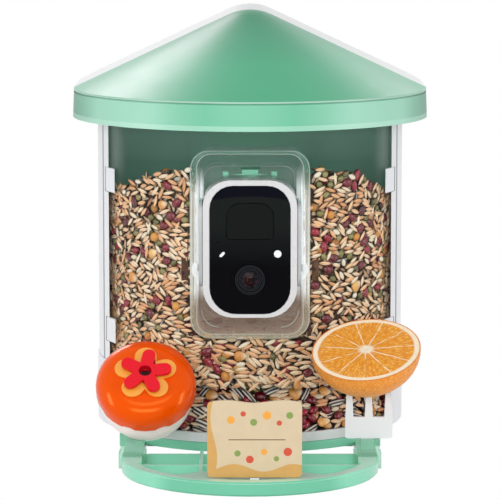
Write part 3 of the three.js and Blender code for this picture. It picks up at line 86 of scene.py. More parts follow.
class Sock:
    """A socket of a finish; sums and products of sockets add the Math nodes that work them out."""

    def __init__(self, finish, socket):
        self.finish = finish
        self.socket = socket

    def math(self, operation, *values, clamp=False):
        inputs = dict(enumerate([self, *values]))
        return self.finish.node("ShaderNodeMath", {"operation": operation, "use_clamp": clamp}, inputs)

    def __add__(self, other):
        return self.math("ADD", other)

    def __mul__(self, other):
        return self.math("MULTIPLY", other)

    def __sub__(self, other):
        return self.math("SUBTRACT", other)

    def __rsub__(self, other):
        return self.finish.node("ShaderNodeMath", {"operation": "SUBTRACT"}, {0: other, 1: self})

    def __truediv__(self, other):
        return self.math("DIVIDE", other)

    def __pow__(self, other):
        return self.math("POWER", other)

    def __lt__(self, other):
        return self.math("LESS_THAN", other)

    def __gt__(self, other):
        return self.math("GREATER_THAN", other)

    def __abs__(self):
        return self.math("ABSOLUTE")

    __radd__ = __add__
    __rmul__ = __mul__

    def ramp(self, low, high):
        """0 below low, 1 above high and a straight line between."""
        return self.finish.node("ShaderNodeMapRange", {}, {"Value": self, "From Min": low, "From Max": high})


class Finish:
    """One material, with its Principled shader; constants are set on the shader's own sockets."""

    def __init__(self, name, **constants):
        self.material = bpy.data.materials.new(name)
        self.material.use_nodes = True
        self.tree = self.material.node_tree
        self.shader = self.tree.nodes["Principled BSDF"]
        self.out = self.tree.nodes["Material Output"]
        for socket, value in constants.items():
            self.shader.inputs[socket.replace("_", " ")].default_value = value

    def node(self, kind, settings=None, inputs=None, output=0):
        made = self.tree.nodes.new(kind)
        for key, value in (settings or {}).items():
            if key == "stops":
                ramp = made.color_ramp
                while len(ramp.elements) < len(value):
                    ramp.elements.new(1)
                for element, (place, colour) in zip(ramp.elements, value):
                    element.position = place
                    element.color = colour
            else:
                setattr(made, key, value)
        for key, value in (inputs or {}).items():
            self.link(made.inputs[key], value)
        return Sock(self, made.outputs[output])

    def link(self, socket, value):
        if isinstance(value, Sock):
            self.tree.links.new(value.socket, socket)
        else:
            socket.default_value = value

    def feed(self, **values):
        for socket, value in values.items():
            self.link(self.shader.inputs[socket.replace("_", " ")], value)

    def paint(self, factor, colour):
        """Lays a colour over what feeds the base colour so far, by the factor."""
        self.feed(Base_Color=self.blend(factor, self.colour(), colour))

    def place(self):
        return self.node("ShaderNodeTexCoord", output="Object")

    def parts(self, vector=None):
        """The three coordinates of a place, by default the place on the object."""
        split = self.tree.nodes.new("ShaderNodeSeparateXYZ")
        self.link(split.inputs[0], vector or self.place())
        return [Sock(self, output) for output in split.outputs]

    def upward(self):
        """How far a face looks up, from -1 to 1."""
        return self.parts(self.node("ShaderNodeNewGeometry", output="Normal"))[2]

    def facing(self):
        """0 where a face looks at the eye, 1 where it is seen edge on."""
        return self.node("ShaderNodeLayerWeight", {}, {"Blend": 0.5}, "Facing")

    def kept(self, name, output="Fac"):
        """An attribute that the piece's mesh carries."""
        return self.node("ShaderNodeAttribute", {"attribute_name": name}, output=output)

    def noise(self, scale, detail=2, vector=None):
        inputs = {"Scale": scale, "Detail": detail, "Vector": vector or self.place()}
        return self.node("ShaderNodeTexNoise", {}, inputs)

    def blend(self, factor, first, second):
        inputs = {"Factor": factor, 6: first, 7: second}
        return self.node("ShaderNodeMix", {"data_type": "RGBA"}, inputs, 2)

    def bump(self, height, strength, distance):
        return self.node("ShaderNodeBump", {}, {"Height": height, "Strength": strength, "Distance": distance})

    def colour(self):
        """What feeds the base colour so far."""
        return Sock(self, self.shader.inputs["Base Color"].links[0].from_socket)


def ink(red, green, blue, alpha=1.0):
    """A screen colour, 0 to 255, as the linear colour a shader takes."""
    linear = [(c / 255 / 12.92) if c <= 10 else ((c / 255 + 0.055) / 1.055) ** 2.4 for c in (red, green, blue)]
    return (*linear, alpha)


floor_mesh = bpy.data.meshes.new("floor")
bm = bmesh.new()
bmesh.ops.create_grid(bm, x_segments=1, y_segments=1, size=FLOOR_REACH)
bm.to_mesh(floor_mesh)
bm.free()
floor = bpy.data.objects.new("floor", floor_mesh)
floor.location = (0, 0, -FLOOR_DROP)
scene.collection.objects.link(floor)
floor_finish = Finish("floor_white", Base_Color=(0.8, 0.8, 0.8, 1), Roughness=0.9)
white_light = floor_finish.node("ShaderNodeEmission", {}, {"Color": WHITE, "Strength": 1.0})
floor_rays = floor_finish.tree.nodes.new("ShaderNodeLightPath")
seen = Sock(floor_finish, floor_rays.outputs["Is Camera Ray"])
for name in ("Is Glossy Ray", "Is Transmission Ray"):
    seen = seen.math("MAXIMUM", Sock(floor_finish, floor_rays.outputs[name]))
mixed = floor_finish.node("ShaderNodeMixShader", {}, {
    0: seen,
    1: Sock(floor_finish, floor_finish.shader.outputs[0]),
    2: white_light,
})
floor_finish.link(floor_finish.out.inputs[0], mixed)
floor_mesh.materials.append(floor_finish.material)

world = bpy.data.worlds.new("studio")
world.use_nodes = True
scene.world = world
sky = world.node_tree
sky_rays = sky.nodes.new("ShaderNodeLightPath")
straight = sky.nodes.new("ShaderNodeMath")
straight.operation = "MAXIMUM"
sky.links.new(sky_rays.outputs["Is Camera Ray"], straight.inputs[0])
sky.links.new(sky_rays.outputs["Is Glossy Ray"], straight.inputs[1])
level = sky.nodes.new("ShaderNodeMapRange")
sky.links.new(straight.outputs[0], level.inputs["Value"])
level.inputs["To Min"].default_value = SKY_LIGHT
level.inputs["To Max"].default_value = SKY_SEEN
sky.links.new(level.outputs[0], sky.nodes["Background"].inputs["Strength"])
sky.nodes["Background"].inputs["Color"].default_value = WHITE


def lamp(name, place, aim, size, power, colour=(1, 1, 1)):
    light = bpy.data.lights.new(name, "AREA")
    light.color = colour
    light.shape = "RECTANGLE"
    light.size, light.size_y = size
    light.energy = power
    made = bpy.data.objects.new(name, light)
    made.location = place
    made.rotation_euler = (Vector(aim) - Vector(place)).to_track_quat("-Z", "Y").to_euler()
    scene.collection.objects.link(made)


lamp("front", (-0.1, -2.1, 0.62), FEEDER_MIDDLE, (1.5, 0.6), 16)
lamp("left", (-1.7, -0.8, 0.5), FEEDER_MIDDLE, (0.3, 1.2), 9)
lamp("right", (1.7, -0.8, 0.5), FEEDER_MIDDLE, (0.3, 1.2), 8)
lamp("back", (-0.75, 1.6, 1.5), ROOF_MIDDLE, (0.7, 0.7), 13, PINKISH)
lamp("back_right", (0.95, 1.6, 1.3), ROOF_MIDDLE, (0.7, 0.7), 8, PINKISH)
lamp("top", (0, -0.95, 1.3), (0, -0.15, 0.05), (0.8, 0.4), 3)

# Roof: one moulding of soft green plastic with a satin gloss. Painted into its colour are shade towards the apex and
# at the skirt's ends, light on the skirt with paler highlights either side of the middle and along its foot, shade in
# the groove under a fine highlight along the rim, and, at the back, a reflection of the studio's white on faces that
# fall away from the eye.
MM = 0.001
SHARP_ANGLE = 32
WELD = 2e-6
ROOF_GREEN, SKIRT_LIT_GREEN, APEX_SHADE_GREEN = ink(52, 162, 118), ink(104, 184, 150), ink(22, 112, 78)
SKIRT_FOOT, SKIRT_GROOVE, SKIRT_TOP, SKIRT_RIM, OVER_RIM = 0.2335, 0.2483, 0.2491, 0.2493, 0.2499
SKIRT_TURNS, SKIRT_EDGE = 0.105, 0.125
APEX_FOOT, APEX = 0.27, 0.3
MOST = 0.95


def object_of(name, mesh, finishes, body, slot, *nodes):
    """A finished piece that rides on a body and stands for the CAD nodes named."""
    made = bpy.data.objects.new(name, mesh)
    scene.collection.objects.link(made)
    mesh.materials.clear()
    for finish in finishes:
        mesh.materials.append(finish.material)
    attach(made, body)
    if nodes:
        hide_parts(*nodes)
    return made


def smoothed(mesh, angle=SHARP_ANGLE):
    mesh.shade_smooth()
    mesh.set_sharp_from_angle(angle=math.radians(angle))
    return mesh


def whole(node):
    """The CAD node's shape as one bmesh, with its loose corners joined and its flats made whole."""
    bm = bmesh.new()
    bm.from_mesh(frame["nodes"][node].data)
    bmesh.ops.remove_doubles(bm, verts=bm.verts, dist=WELD)
    bmesh.ops.dissolve_limit(bm, angle_limit=math.radians(0.6), verts=bm.verts, edges=bm.edges)
    return bm


def finished(bm, name):
    mesh = bpy.data.meshes.new(name)
    bm.to_mesh(mesh)
    bm.free()
    return mesh


def body_of(node):
    return frame["nodes"][node]["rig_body"]


def moulded(node, finish, slot, edge=0.35, segments=2):
    """The CAD node again, with rounded edges, edge mm wide, as its own piece."""
    mesh = smoothed(finished(whole(node), node + "_form"))
    made = object_of(node + "_form", mesh, [finish], body_of(node), slot, node)
    bevel = made.modifiers.new("edges", "BEVEL")
    bevel.width = edge * MM
    bevel.segments = segments
    bevel.limit_method = "ANGLE"
    bevel.angle_limit = math.radians(SHARP_ANGLE)
    bevel.harden_normals = True
    bevel.use_clamp_overlap = True
    return made


def shade(colour, factor):
    return (*[min(1.0, c * factor) for c in colour[:3]], colour[3])


def plastic(name, colour, roughness, drift=0.03, grain=0.05, **constants):
    """Moulded plastic: colour drifts a little over the part, and the mould's fine grain dulls its gloss."""
    made = Finish(name, **constants)
    made.feed(
        Base_Color=made.blend(made.noise(22, 3), shade(colour, 1 - drift), shade(colour, 1 + drift)),
        Roughness=roughness + (made.noise(60, 4) - 0.5) * 0.08,
        Normal=made.bump(made.noise(2600, 2), grain, 0.00004),
    )
    return made


roof_mint = plastic("roof_mint", ROOF_GREEN, 0.38, grain=0.6, Specular_IOR_Level=0.55)
x, y, z = roof_mint.parts()
# Painted shade: darker green towards the apex.
roof_mint.paint(z.ramp(APEX_FOOT, APEX) * 0.6, APEX_SHADE_GREEN)
# Painted light on the skirt: lighter than the cone, with paler highlights either side of the middle and along its
# foot, and painted shade at its ends.
shaded_end = abs(x).ramp(SKIRT_TURNS, SKIRT_EDGE)
paler = abs(x).ramp(0.03, 0.085) * (1 - shaded_end)
skirt = roof_mint.blend(shaded_end, SKIRT_LIT_GREEN, ink(48, 132, 100))
skirt = roof_mint.blend(paler * 0.45, skirt, ink(190, 228, 212))
skirt = roof_mint.blend((z < SKIRT_FOOT) * 0.35, skirt, ink(196, 232, 216))
roof_mint.paint(z < SKIRT_TOP, skirt)
# Painted shade in the groove, and a painted highlight along the rim above it.
roof_mint.paint((abs(z - SKIRT_GROOVE) < 0.0005) * 0.5, ink(40, 120, 90))
rim_light = (abs(z - SKIRT_RIM) < 0.0006) * 0.35
# Painted reflection of the studio's white on the back faces seen edge on.
behind = y.ramp(-0.004, 0.006) * (z > OVER_RIM)
gleam = roof_mint.facing() ** 4 * MOST * behind
roof_mint.paint((gleam + rim_light).math("MINIMUM", MOST), ink(236, 238, 238))
moulded("roof", roof_mint, "mint_plastic", 0.5, 3)

# Rear shell, rim and ramp: the same green plastic. The shell's inside, behind the window, is painted with light: a
# paler green, lighter still towards its top and its middle, where the light comes in through the window.
MINT = ink(98, 188, 150)
INNER_BACK, INNER_SIDE = 0.0734, 0.1067
SHADE_LOW, SHADE_HIGH = 0.188, 0.208
shell_mint = plastic("shell_mint", MINT, 0.3, Coat_Weight=0.15, Coat_Roughness=0.12)
x, y, z = shell_mint.parts()
# Painted light: the inside is lighter towards its top and its middle.
inside = shell_mint.blend(z.ramp(SHADE_LOW, SHADE_HIGH), ink(114, 180, 156), ink(170, 234, 212))
inside = shell_mint.blend((1 - abs(x).ramp(0.012, 0.045)) * 0.8, inside, ink(160, 255, 214))
shell_mint.paint((y < INNER_BACK) * (abs(x) < INNER_SIDE), inside)
for node in ("rear_shell", "top_rim", "seed_ramp"):
    moulded(node, shell_mint, "mint_plastic")

# Base, perch and camera latch: green plastic a little lighter than the shell's, with softly rounded edges that catch
# the light along every bar. Painted on it are shade on the perch ring's front face, light on all behind it, and a
# highlight where it faces up.
LIGHT_MINT, LIT_MINT, TOP_LIT_MINT = ink(106, 192, 158), ink(136, 218, 186), ink(200, 242, 226)
PERCH_FRONT, PERCH_BEHIND = -0.196, -0.186
mint = plastic("mint_plastic", LIGHT_MINT, 0.3, Coat_Weight=0.25, Coat_Roughness=0.15)
_, y, _ = mint.parts()
# Painted shade on the perch ring's front face, painted light on all behind it, and a painted highlight where it faces
# up.
mint.paint(y.ramp(PERCH_FRONT, PERCH_BEHIND), LIT_MINT)
mint.paint(mint.upward().ramp(0.3, 0.9) * 0.9, TOP_LIT_MINT)
moulded("base_foot", mint, "mint_plastic")
moulded("perch", mint, "mint_plastic", 0.55, 3)
moulded("camera_bracket", mint, "mint_plastic", 0.3)

# Side frames, window clips and tray: cool off-white plastic with a soft gloss. Down each frame runs a narrow groove,
# where the window's edge is tucked in, with painted shade in it.
PALE, GROOVE_SHADE = ink(228, 231, 234), ink(84, 88, 90)
GROOVE_X, GROOVE_HALF, FRAME_FRONT = 0.1032, 0.0005, -0.001
pale = plastic("pale_plastic", PALE, 0.32, drift=0.015)
for node in (
    "window_clip_left_lower", "window_clip_left_upper", "window_clip_right_lower", "window_clip_right_upper", "tray",
):
    moulded(node, pale, "pale_plastic")
frame_pale = plastic("frame_pale", PALE, 0.32, drift=0.015)
x, y, _ = frame_pale.parts()
# Painted shade in the groove.
frame_pale.paint((abs(abs(x) - GROOVE_X) < GROOVE_HALF) * (y < FRAME_FRONT) * 0.8, GROOVE_SHADE)
moulded("side_frame_left", frame_pale, "pale_plastic")
moulded("side_frame_right", frame_pale, "pale_plastic")

# Window: water clear plastic, so the seed shows through, with a faint veil of the room's light and with bright edges
# where the wall is seen end on. Toward its sides, above the seed, a painted sheen makes it more milky white.
WINDOW_TURNS, WINDOW_SIDE = 0.086, 0.101
SEED_TOP_LOW, SEED_TOP_HIGH = 0.185, 0.2


def clear(name, tint, haze, **constants):
    """Clear plastic: lets light through with a tint, and mirrors more at grazing angles."""
    made = Finish(name, **constants)
    through = made.node("ShaderNodeBsdfTransparent", {}, {"Color": tint})
    made.share = made.facing() ** 7 * 0.45 + haze
    surface = Sock(made, made.shader.outputs[0])
    mixed = made.node("ShaderNodeMixShader", {}, {0: made.share, 1: through, 2: surface})
    made.mix = mixed.socket.node
    made.link(made.out.inputs[0], mixed)
    return made


window_clear = clear("window_clear", (0.99, 1.0, 0.995, 1), 0.006, Base_Color=(0.8, 0.86, 0.84, 1), Roughness=0.06)
x, _, z = window_clear.parts()
# Painted sheen: toward its sides, above the seed, the window is made more milky white.
side_glow = abs(x).ramp(WINDOW_TURNS, WINDOW_SIDE) * z.ramp(SEED_TOP_LOW, SEED_TOP_HIGH) * 0.16
window_clear.link(window_clear.mix.inputs[0], window_clear.share + side_glow)
moulded("front_window", window_clear, "clear_plastic", 0.5)

# Camera pocket: clear plastic with thicker, slightly milky walls. Painted into them is what lies behind: the green
# wall in shade at the top, the seed below, and beside the camera painted light in milky white with streaks of painted
# highlight;
# soft white spots stand for the pivot knobs behind the flange, and the walls glow faintly in their own tint as
# painted light. Its rolled edges, its step and its ribs are light lines, made as thin milky beads, and two short arcs
# at its heel are beads put in for corner highlights.
FLANGE_FACE = -0.0975
FLANGE_INNER, WALL_INNER = 0.0385, 0.0325
KNOB_X, KNOB_Z, KNOB_WIDE, KNOB_TALL = 0.0378, 0.133, 0.0026, 0.0056
SEEDY, MILKY, STREAK_HIGHLIGHT, SHADY_GREEN = ink(160, 140, 126), ink(214, 219, 219), ink(250, 252, 253), ink(112, 132, 126)
# The pocket's walls glow faintly in their own tint, as painted light.
pocket_clear = clear("pocket_clear", (0.95, 0.975, 0.965, 1), 0.05, Roughness=0.12, Emission_Strength=0.4)
x, y, z = pocket_clear.parts()
low, high = 1 - z.ramp(0.104, 0.118), z.ramp(0.184, 0.2)
flange = y < FLANGE_FACE
drawn = pocket_clear.node("ShaderNodeCombineXYZ", {}, {0: x * 900, 1: y * 120, 2: z * 14})
highlight_streaks = pocket_clear.noise(1, 3, drawn).ramp(0.4, 0.62)
between = (1 - low) * (1 - high)
# Painted highlight: milky white streaks on the walls.
wall_tint = pocket_clear.blend(highlight_streaks, MILKY, STREAK_HIGHLIGHT)
wall_tint = pocket_clear.blend(high, pocket_clear.blend(low, wall_tint, SEEDY), SHADY_GREEN)
edge_tint = pocket_clear.blend(pocket_clear.noise(90, 3), ink(138, 128, 104), ink(182, 174, 150))
edge_tint = pocket_clear.blend(high, edge_tint, ink(112, 158, 138))
edge_tint = pocket_clear.blend((abs(x) < FLANGE_INNER) * between, edge_tint, wall_tint)
tint = pocket_clear.blend(flange, wall_tint, edge_tint)
aside, above = (abs(x) - KNOB_X) / KNOB_WIDE, (z - KNOB_Z) / KNOB_TALL
knob = (1 - ((aside * aside) + above * above).ramp(0.4, 1.0)) * flange
tint = pocket_clear.blend(knob, tint, ink(200, 203, 204))
pocket_clear.feed(Base_Color=tint, Emission_Color=tint)
# Painted light beside the camera: the walls there are made milky white.
beside = (abs(x) > WALL_INNER) * between * (highlight_streaks * 0.32 + 0.66)
wall_haze = (1 - flange) * (beside + low * 0.5 + high * 0.15)
haze = pocket_clear.share + wall_haze + flange * (0.34 - high * 0.2) + knob * 0.45
pocket_clear.link(pocket_clear.mix.inputs[0], haze.math("MINIMUM", MOST))
moulded("camera_pocket", pocket_clear, "clear_plastic", 0.4)
bead_clear = clear("bead_clear", (0.97, 0.985, 0.98, 1), 0.4, Base_Color=(0.66, 0.69, 0.65, 1), Roughness=0.2)


def wire(name, spots, radius, closed=False):
    """A thin round bead along the line through the places given, in mm."""
    curve = bpy.data.curves.new(name, "CURVE")
    curve.dimensions = "3D"
    curve.bevel_depth = radius * MM
    curve.bevel_resolution = 2
    path = curve.splines.new("POLY")
    path.points.add(len(spots) - 1)
    for point, spot in zip(path.points, spots):
        point.co = (*[value * MM for value in spot], 1)
    path.use_cyclic_u = closed
    holder = bpy.data.objects.new(name, curve)
    scene.collection.objects.link(holder)
    mesh = bpy.data.meshes.new_from_object(holder.evaluated_get(bpy.context.evaluated_depsgraph_get()))
    bpy.data.objects.remove(holder)
    mesh.shade_smooth()
    object_of(name, mesh, [bead_clear], "feeder", "clear_plastic")


def bend(cx, cz, radius, y, start):
    """A quarter of a circle that faces the front, from the angle start on."""
    angles = [math.radians(start + 15 * step) for step in range(7)]
    return [(cx + radius * math.cos(angle), y, cz + radius * math.sin(angle)) for angle in angles]


def bead(name, half, low, high, corner, y, radius):
    """A bead along a rounded rectangle that faces the front."""
    spots = []
    for turn, (cx, cz) in enumerate((
        (half - corner, high - corner), (corner - half, high - corner),
        (corner - half, low + corner), (half - corner, low + corner),
    )):
        spots += bend(cx, cz, corner, y, 90 * turn)
    wire(name, spots, radius, True)


FLANGE_Y, STEP_Y, NICHE_Y, HEEL_Y = -99.9, -58.2, -57.0, -86
RIB_X, RIB_FRONT, RIB_BACK = 11.6, (-98.8, 89.4), (-60, 94.2)
bead("pocket_edge", 40.4, 86.4, 214.4, 12.4, FLANGE_Y, 0.35)
bead("pocket_mouth", 36.4, 88.4, 212.4, 9.9, FLANGE_Y, 0.35)
bead("pocket_step", 35.2, 93.6, 211.2, 9.0, STEP_Y, 0.25)
bead("pocket_niche", 31.2, 95.0, 199.4, 8.0, NICHE_Y, 0.25)
for side, name in ((-1, "left"), (1, "right")):
    wire(f"pocket_rib_{name}", [(side * RIB_X, *RIB_FRONT), (side * RIB_X, *RIB_BACK)], 0.35)
    # Beads at the heel's corners, put in for corner highlights.
    wire(f"pocket_heel_{name}", bend(side * 21.5, 103, 12, HEEL_Y, 180 if side < 0 else 270), 0.5)

# Saddles under the dish and the fork: two small mouldings of green tinted clear plastic, clipped over the
# perch's arms, so that the arm's own green shows through them.
saddle_clear = clear("saddle_clear", (0.72, 0.9, 0.82, 1), 0.22, Base_Color=ink(190, 226, 210), Roughness=0.15)
moulded("fork_clip", saddle_clear, "clear_green_plastic", 0.3)
moulded("dish_clip", saddle_clear, "clear_green_plastic", 0.3)

# Camera housing and cradle: two off-white shells, screwed together round a black face and held on two knobs between
# the cradle's arms. Their tops, deep in the pocket, carry a painted green reflection of the wall behind.
SHELL_FRONT, SHELL_TOP = -0.085, 0.16
shell_white = plastic("shell_white", ink(208, 209, 210), 0.28, drift=0.01)
_, y, z = shell_white.parts()
# Painted reflection of the green wall on the shells' tops.
green_reflection = shell_white.upward().ramp(0.5, 0.95) * (y > SHELL_FRONT) * (z > SHELL_TOP) * 0.7
shell_white.paint(green_reflection, ink(132, 200, 174))
for node in ("camera_front_shell", "camera_rear_shell", "camera_cradle", "pivot_knob_left", "pivot_knob_right"):
    moulded(node, shell_white, "pale_plastic")

# Camera face: one gloss black panel, with a satin black window over the motion sensor, a milky status light and a
# milky light sensor. A reflection of the studio is painted into its colour: a faint sheen over its upper part and a
# darker, bluer arc at the top.
SHEEN_LOW, SHEEN_HIGH = 0.135, 0.165
ARC_HEIGHT, ARC_BEND = 0.1835, 4
black_gloss = plastic("black_gloss", ink(6, 6, 10), 0.1, grain=0.0, Specular_IOR_Level=0.04)
x, _, z = black_gloss.parts()
# Painted reflection: a sheen over the upper part and a darker, bluer arc at the top.
black_gloss.paint(z.ramp(SHEEN_LOW, SHEEN_HIGH), ink(24, 29, 28))
black_gloss.paint(z - ARC_HEIGHT + x * x * ARC_BEND > 0, ink(10, 12, 22))
black_satin = plastic("black_satin", ink(19, 23, 22), 0.3, Specular_IOR_Level=0.04)
diffuser = plastic("diffuser", ink(236, 238, 239), 0.3)
moulded("camera_face", black_gloss, "black_gloss", 0.3, 3)
moulded("motion_window", black_satin, "black_satin", 0.5, 3)
moulded("status_light", diffuser, "diffuser", 0.4, 3)
moulded("light_sensor", diffuser, "diffuser", 0.2)

# Lens: a stepped black ring and barrel with fine turned rings, round a coated glass whose colour carries painted
# reflections: small warm and cool rings of its inner elements.
LENS_HEIGHT = 0.126
RINGS_PER_METRE, GLASS_SCALE = 5200, 165


def from_lens(finish):
    """How far a place lies from the lens's axis."""
    x, _, z = finish.parts()
    return ((x * x) + (z - LENS_HEIGHT) * (z - LENS_HEIGHT)) ** 0.5


turned_black = plastic("turned_black", ink(13, 14, 16), 0.25, Specular_IOR_Level=0.08)
fine_rings = (from_lens(turned_black) * RINGS_PER_METRE).math("SINE").ramp(0.3, 1.0)
turned_black.paint(fine_rings * 0.15, ink(96, 102, 108))
coated = Finish("coated_glass", Roughness=0.12, Specular_IOR_Level=0.06)
# Painted reflections of the inner elements, as warm and cool rings.
rings = coated.node("ShaderNodeValToRGB", {"stops": [
    (0.0, ink(96, 48, 40)), (0.1, ink(30, 12, 14)), (0.26, ink(12, 12, 16)), (0.34, ink(98, 40, 36)),
    (0.42, ink(16, 14, 18)), (0.62, ink(12, 14, 20)), (0.7, ink(92, 34, 40)), (0.78, ink(20, 20, 30)),
    (0.92, ink(44, 48, 58)), (1.0, ink(14, 14, 16)),
]}, {0: from_lens(coated) * GLASS_SCALE})
broken = coated.noise(420, 2).ramp(0.35, 0.6)
coated.feed(Base_Color=coated.blend(broken, ink(12, 11, 14), rings))
moulded("lens_ring", turned_black, "black_satin", 0.25, 3)
moulded("lens_barrel", turned_black, "black_satin", 0.2, 3)
moulded("lens_glass", coated, "lens_coated_glass", 0.1)

# Inside the camera: board, image sensor, battery, speaker, port and seal, each in its own stuff, and with them
# the feeder's small metal parts: the roof's pins, the screws and the foot's brass insert.
board_green = plastic("board_green", ink(28, 104, 66), 0.45)
cell_wrap = plastic("cell_wrap", ink(50, 92, 160), 0.4)
soft_seal = plastic("soft_seal", ink(40, 42, 44), 0.7)
steel = plastic("steel", ink(190, 192, 195), 0.3, Metallic=1.0)
brass = plastic("brass", ink(205, 168, 92), 0.32, Metallic=1.0)
for finish, slot, nodes in (
    (board_green, "board_green", ["main_board"]),
    (cell_wrap, "cell_wrap", ["battery_cell"]),
    (black_satin, "black_satin", ["speaker", "image_sensor"]),
    (soft_seal, "soft_seal", ["camera_seal", "port_flap", "power_button"]),
    (steel, "steel", [
        "hinge_pin_left", "hinge_pin_right", "camera_screw_left_lower", "camera_screw_left_upper",
        "camera_screw_right_lower", "camera_screw_right_upper", "foot_screw_left_front", "foot_screw_left_rear",
        "foot_screw_right_front", "foot_screw_right_rear", "motion_sensor", "charging_port",
    ]),
    (brass, "brass", ["threaded_insert"]),
):
    for node in nodes:
        moulded(node, finish, slot, 0.2)

# Sign: a thin board, cream, with a golden wave up one side and along its foot, a ruled line across the middle
# and a few round dots of confetti in warm colours. It is pushed into a pale clip.
SIGN_MIDDLE, SIGN_HALF = 0.003, 0.031
SIGN_FOOT, SIGN_TALL = 0.01, 0.0505
AMBER, BRICK, LEAF = ink(232, 160, 52), ink(204, 74, 44), ink(126, 150, 72)
sign_print = Finish("sign_print", Roughness=0.42)
x, _, z = sign_print.parts()
across, up = (x - SIGN_MIDDLE) / SIGN_HALF, (z - SIGN_FOOT) / SIGN_TALL
foot = up + (across * 5.0 + 0.6).math("SINE") * 0.05 < 0.13
side = across * -1 + (up * 6.0).math("SINE") * 0.07 > 0.86
fibre = sign_print.noise(160, 3)
cream = sign_print.blend(fibre, ink(214, 194, 160), ink(204, 184, 150))
golden = sign_print.blend(fibre, ink(210, 164, 92), ink(198, 150, 78))
ruled = (abs(up - 0.5) < 0.007) * (abs(across - 0.05) < 0.6)
paper = sign_print.blend(ruled, sign_print.blend(foot.math("MAXIMUM", side), cream, golden), ink(120, 92, 66))
for dot_across, dot_up, size, colour in (
    (-0.5, 0.76, 0.05, AMBER), (-0.24, 0.84, 0.035, BRICK), (-0.02, 0.73, 0.045, LEAF), (0.26, 0.82, 0.055, AMBER),
    (0.52, 0.72, 0.035, BRICK), (0.74, 0.82, 0.045, LEAF), (-0.36, 0.32, 0.04, LEAF), (-0.1, 0.24, 0.05, BRICK),
    (0.2, 0.34, 0.04, AMBER), (0.46, 0.25, 0.035, LEAF), (0.7, 0.34, 0.055, BRICK),
):
    aside, above = (across - dot_across) * 0.61, up - dot_up
    paper = sign_print.blend(aside * aside + above * above < size ** 2, paper, colour)
sign_print.feed(Base_Color=paper)
moulded("sign_plate", sign_print, "sign_print", 0.3)
moulded("sign_clip", pale, "pale_plastic", 0.3)

# Fruit fork: one pale moulding, three tapered tines that stand on a flat base; it drops into the saddle on the
# right arm.
moulded("fruit_fork", pale, "pale_plastic", 0.45)

# Half an orange, pushed onto the fork: juicy flesh in eleven segments round a pale core, a ring of pith, and
# a thin pitted peel. Its own frame, kept in an attribute, has the cut face level.
ORANGE_PLACE = (0.0784, -0.130, 0.083)
ORANGE_LEAN, ORANGE_TIP = -6, 24
ORANGE_RADIUS, SEGMENTS = 0.0369, 11
FACE_UNDER, FACE_OVER = -0.0006, -0.0001
orange_place = (
    Matrix.Translation(ORANGE_PLACE)
    @ Matrix.Rotation(math.radians(ORANGE_LEAN), 4, "Y")
    @ Matrix.Rotation(math.radians(ORANGE_TIP), 4, "X")
)
fruit = Finish("orange_fruit", Specular_IOR_Level=0.2)
local = fruit.kept("fruit_place", "Vector")
x, y, z = fruit.parts(local)
wobble = (fruit.noise(55, 2, local) - 0.5) * 0.1
spread = ((x * x) + (y * y)) ** 0.5 / ORANGE_RADIUS
angle = y.math("ARCTAN2", x)
segment = (angle * (SEGMENTS / (2 * math.pi)) + wobble * 3).math("FRACT")
wall = (abs(segment - 0.5) * -1 + 0.5) * spread
stretched = fruit.node("ShaderNodeCombineXYZ", {}, {0: angle * 5.0, 1: spread * 2.8, 2: segment})
drop = fruit.node("ShaderNodeTexVoronoi", {}, {"Scale": 3.6, "Vector": stretched}, "Distance")
juice = fruit.blend(drop.ramp(0.1, 0.6), ink(250, 190, 88), ink(230, 144, 40))
# Painted highlights: small glints of light on the juice, toward the rim.
juice_glint = fruit.noise(1100, 2, local).ramp(0.62, 0.7) * spread.ramp(0.45, 0.75)
juice = fruit.blend(juice_glint * 0.8, juice, ink(255, 240, 200))
skin = (1 - wall.ramp(0.008, 0.026)) * fruit.noise(90, 2, local).ramp(0.36, 0.5)
core = 1 - (spread + wobble).ramp(0.1, 0.17)
pith = (spread + wobble * 0.5).ramp(0.875, 0.9)
pale_bits = skin.math("MAXIMUM", core).math("MAXIMUM", pith)
pith_white = fruit.blend(fruit.noise(400, 3), ink(255, 246, 226), ink(250, 232, 200))
cut = fruit.blend(pale_bits * 0.9, juice, pith_white)
cut = fruit.blend(spread.ramp(0.965, 0.985), cut, ink(224, 134, 44))
pores = fruit.noise(900, 2, local)
peel = fruit.blend(pores.ramp(0.3, 0.7), ink(232, 132, 34), ink(252, 176, 84))
on_face = z.ramp(FACE_UNDER, FACE_OVER)
fruit.feed(
    Base_Color=fruit.blend(on_face, peel, cut),
    Roughness=0.42 - on_face * 0.12,
    Normal=fruit.bump(pores * (1 - on_face) + drop * on_face * 0.8, 0.5, 0.0006),
)
mesh = smoothed(finished(whole("orange_half"), "orange_half_form"), 40)
kept = np.array([orange_place.inverted() @ vert.co for vert in mesh.vertices], dtype=np.float32)
mesh.attributes.new("fruit_place", "FLOAT_VECTOR", "POINT").data.foreach_set("vector", kept.ravel())
object_of("orange_half_form", mesh, [fruit], body_of("orange_half"), "orange_fruit", "orange_half")

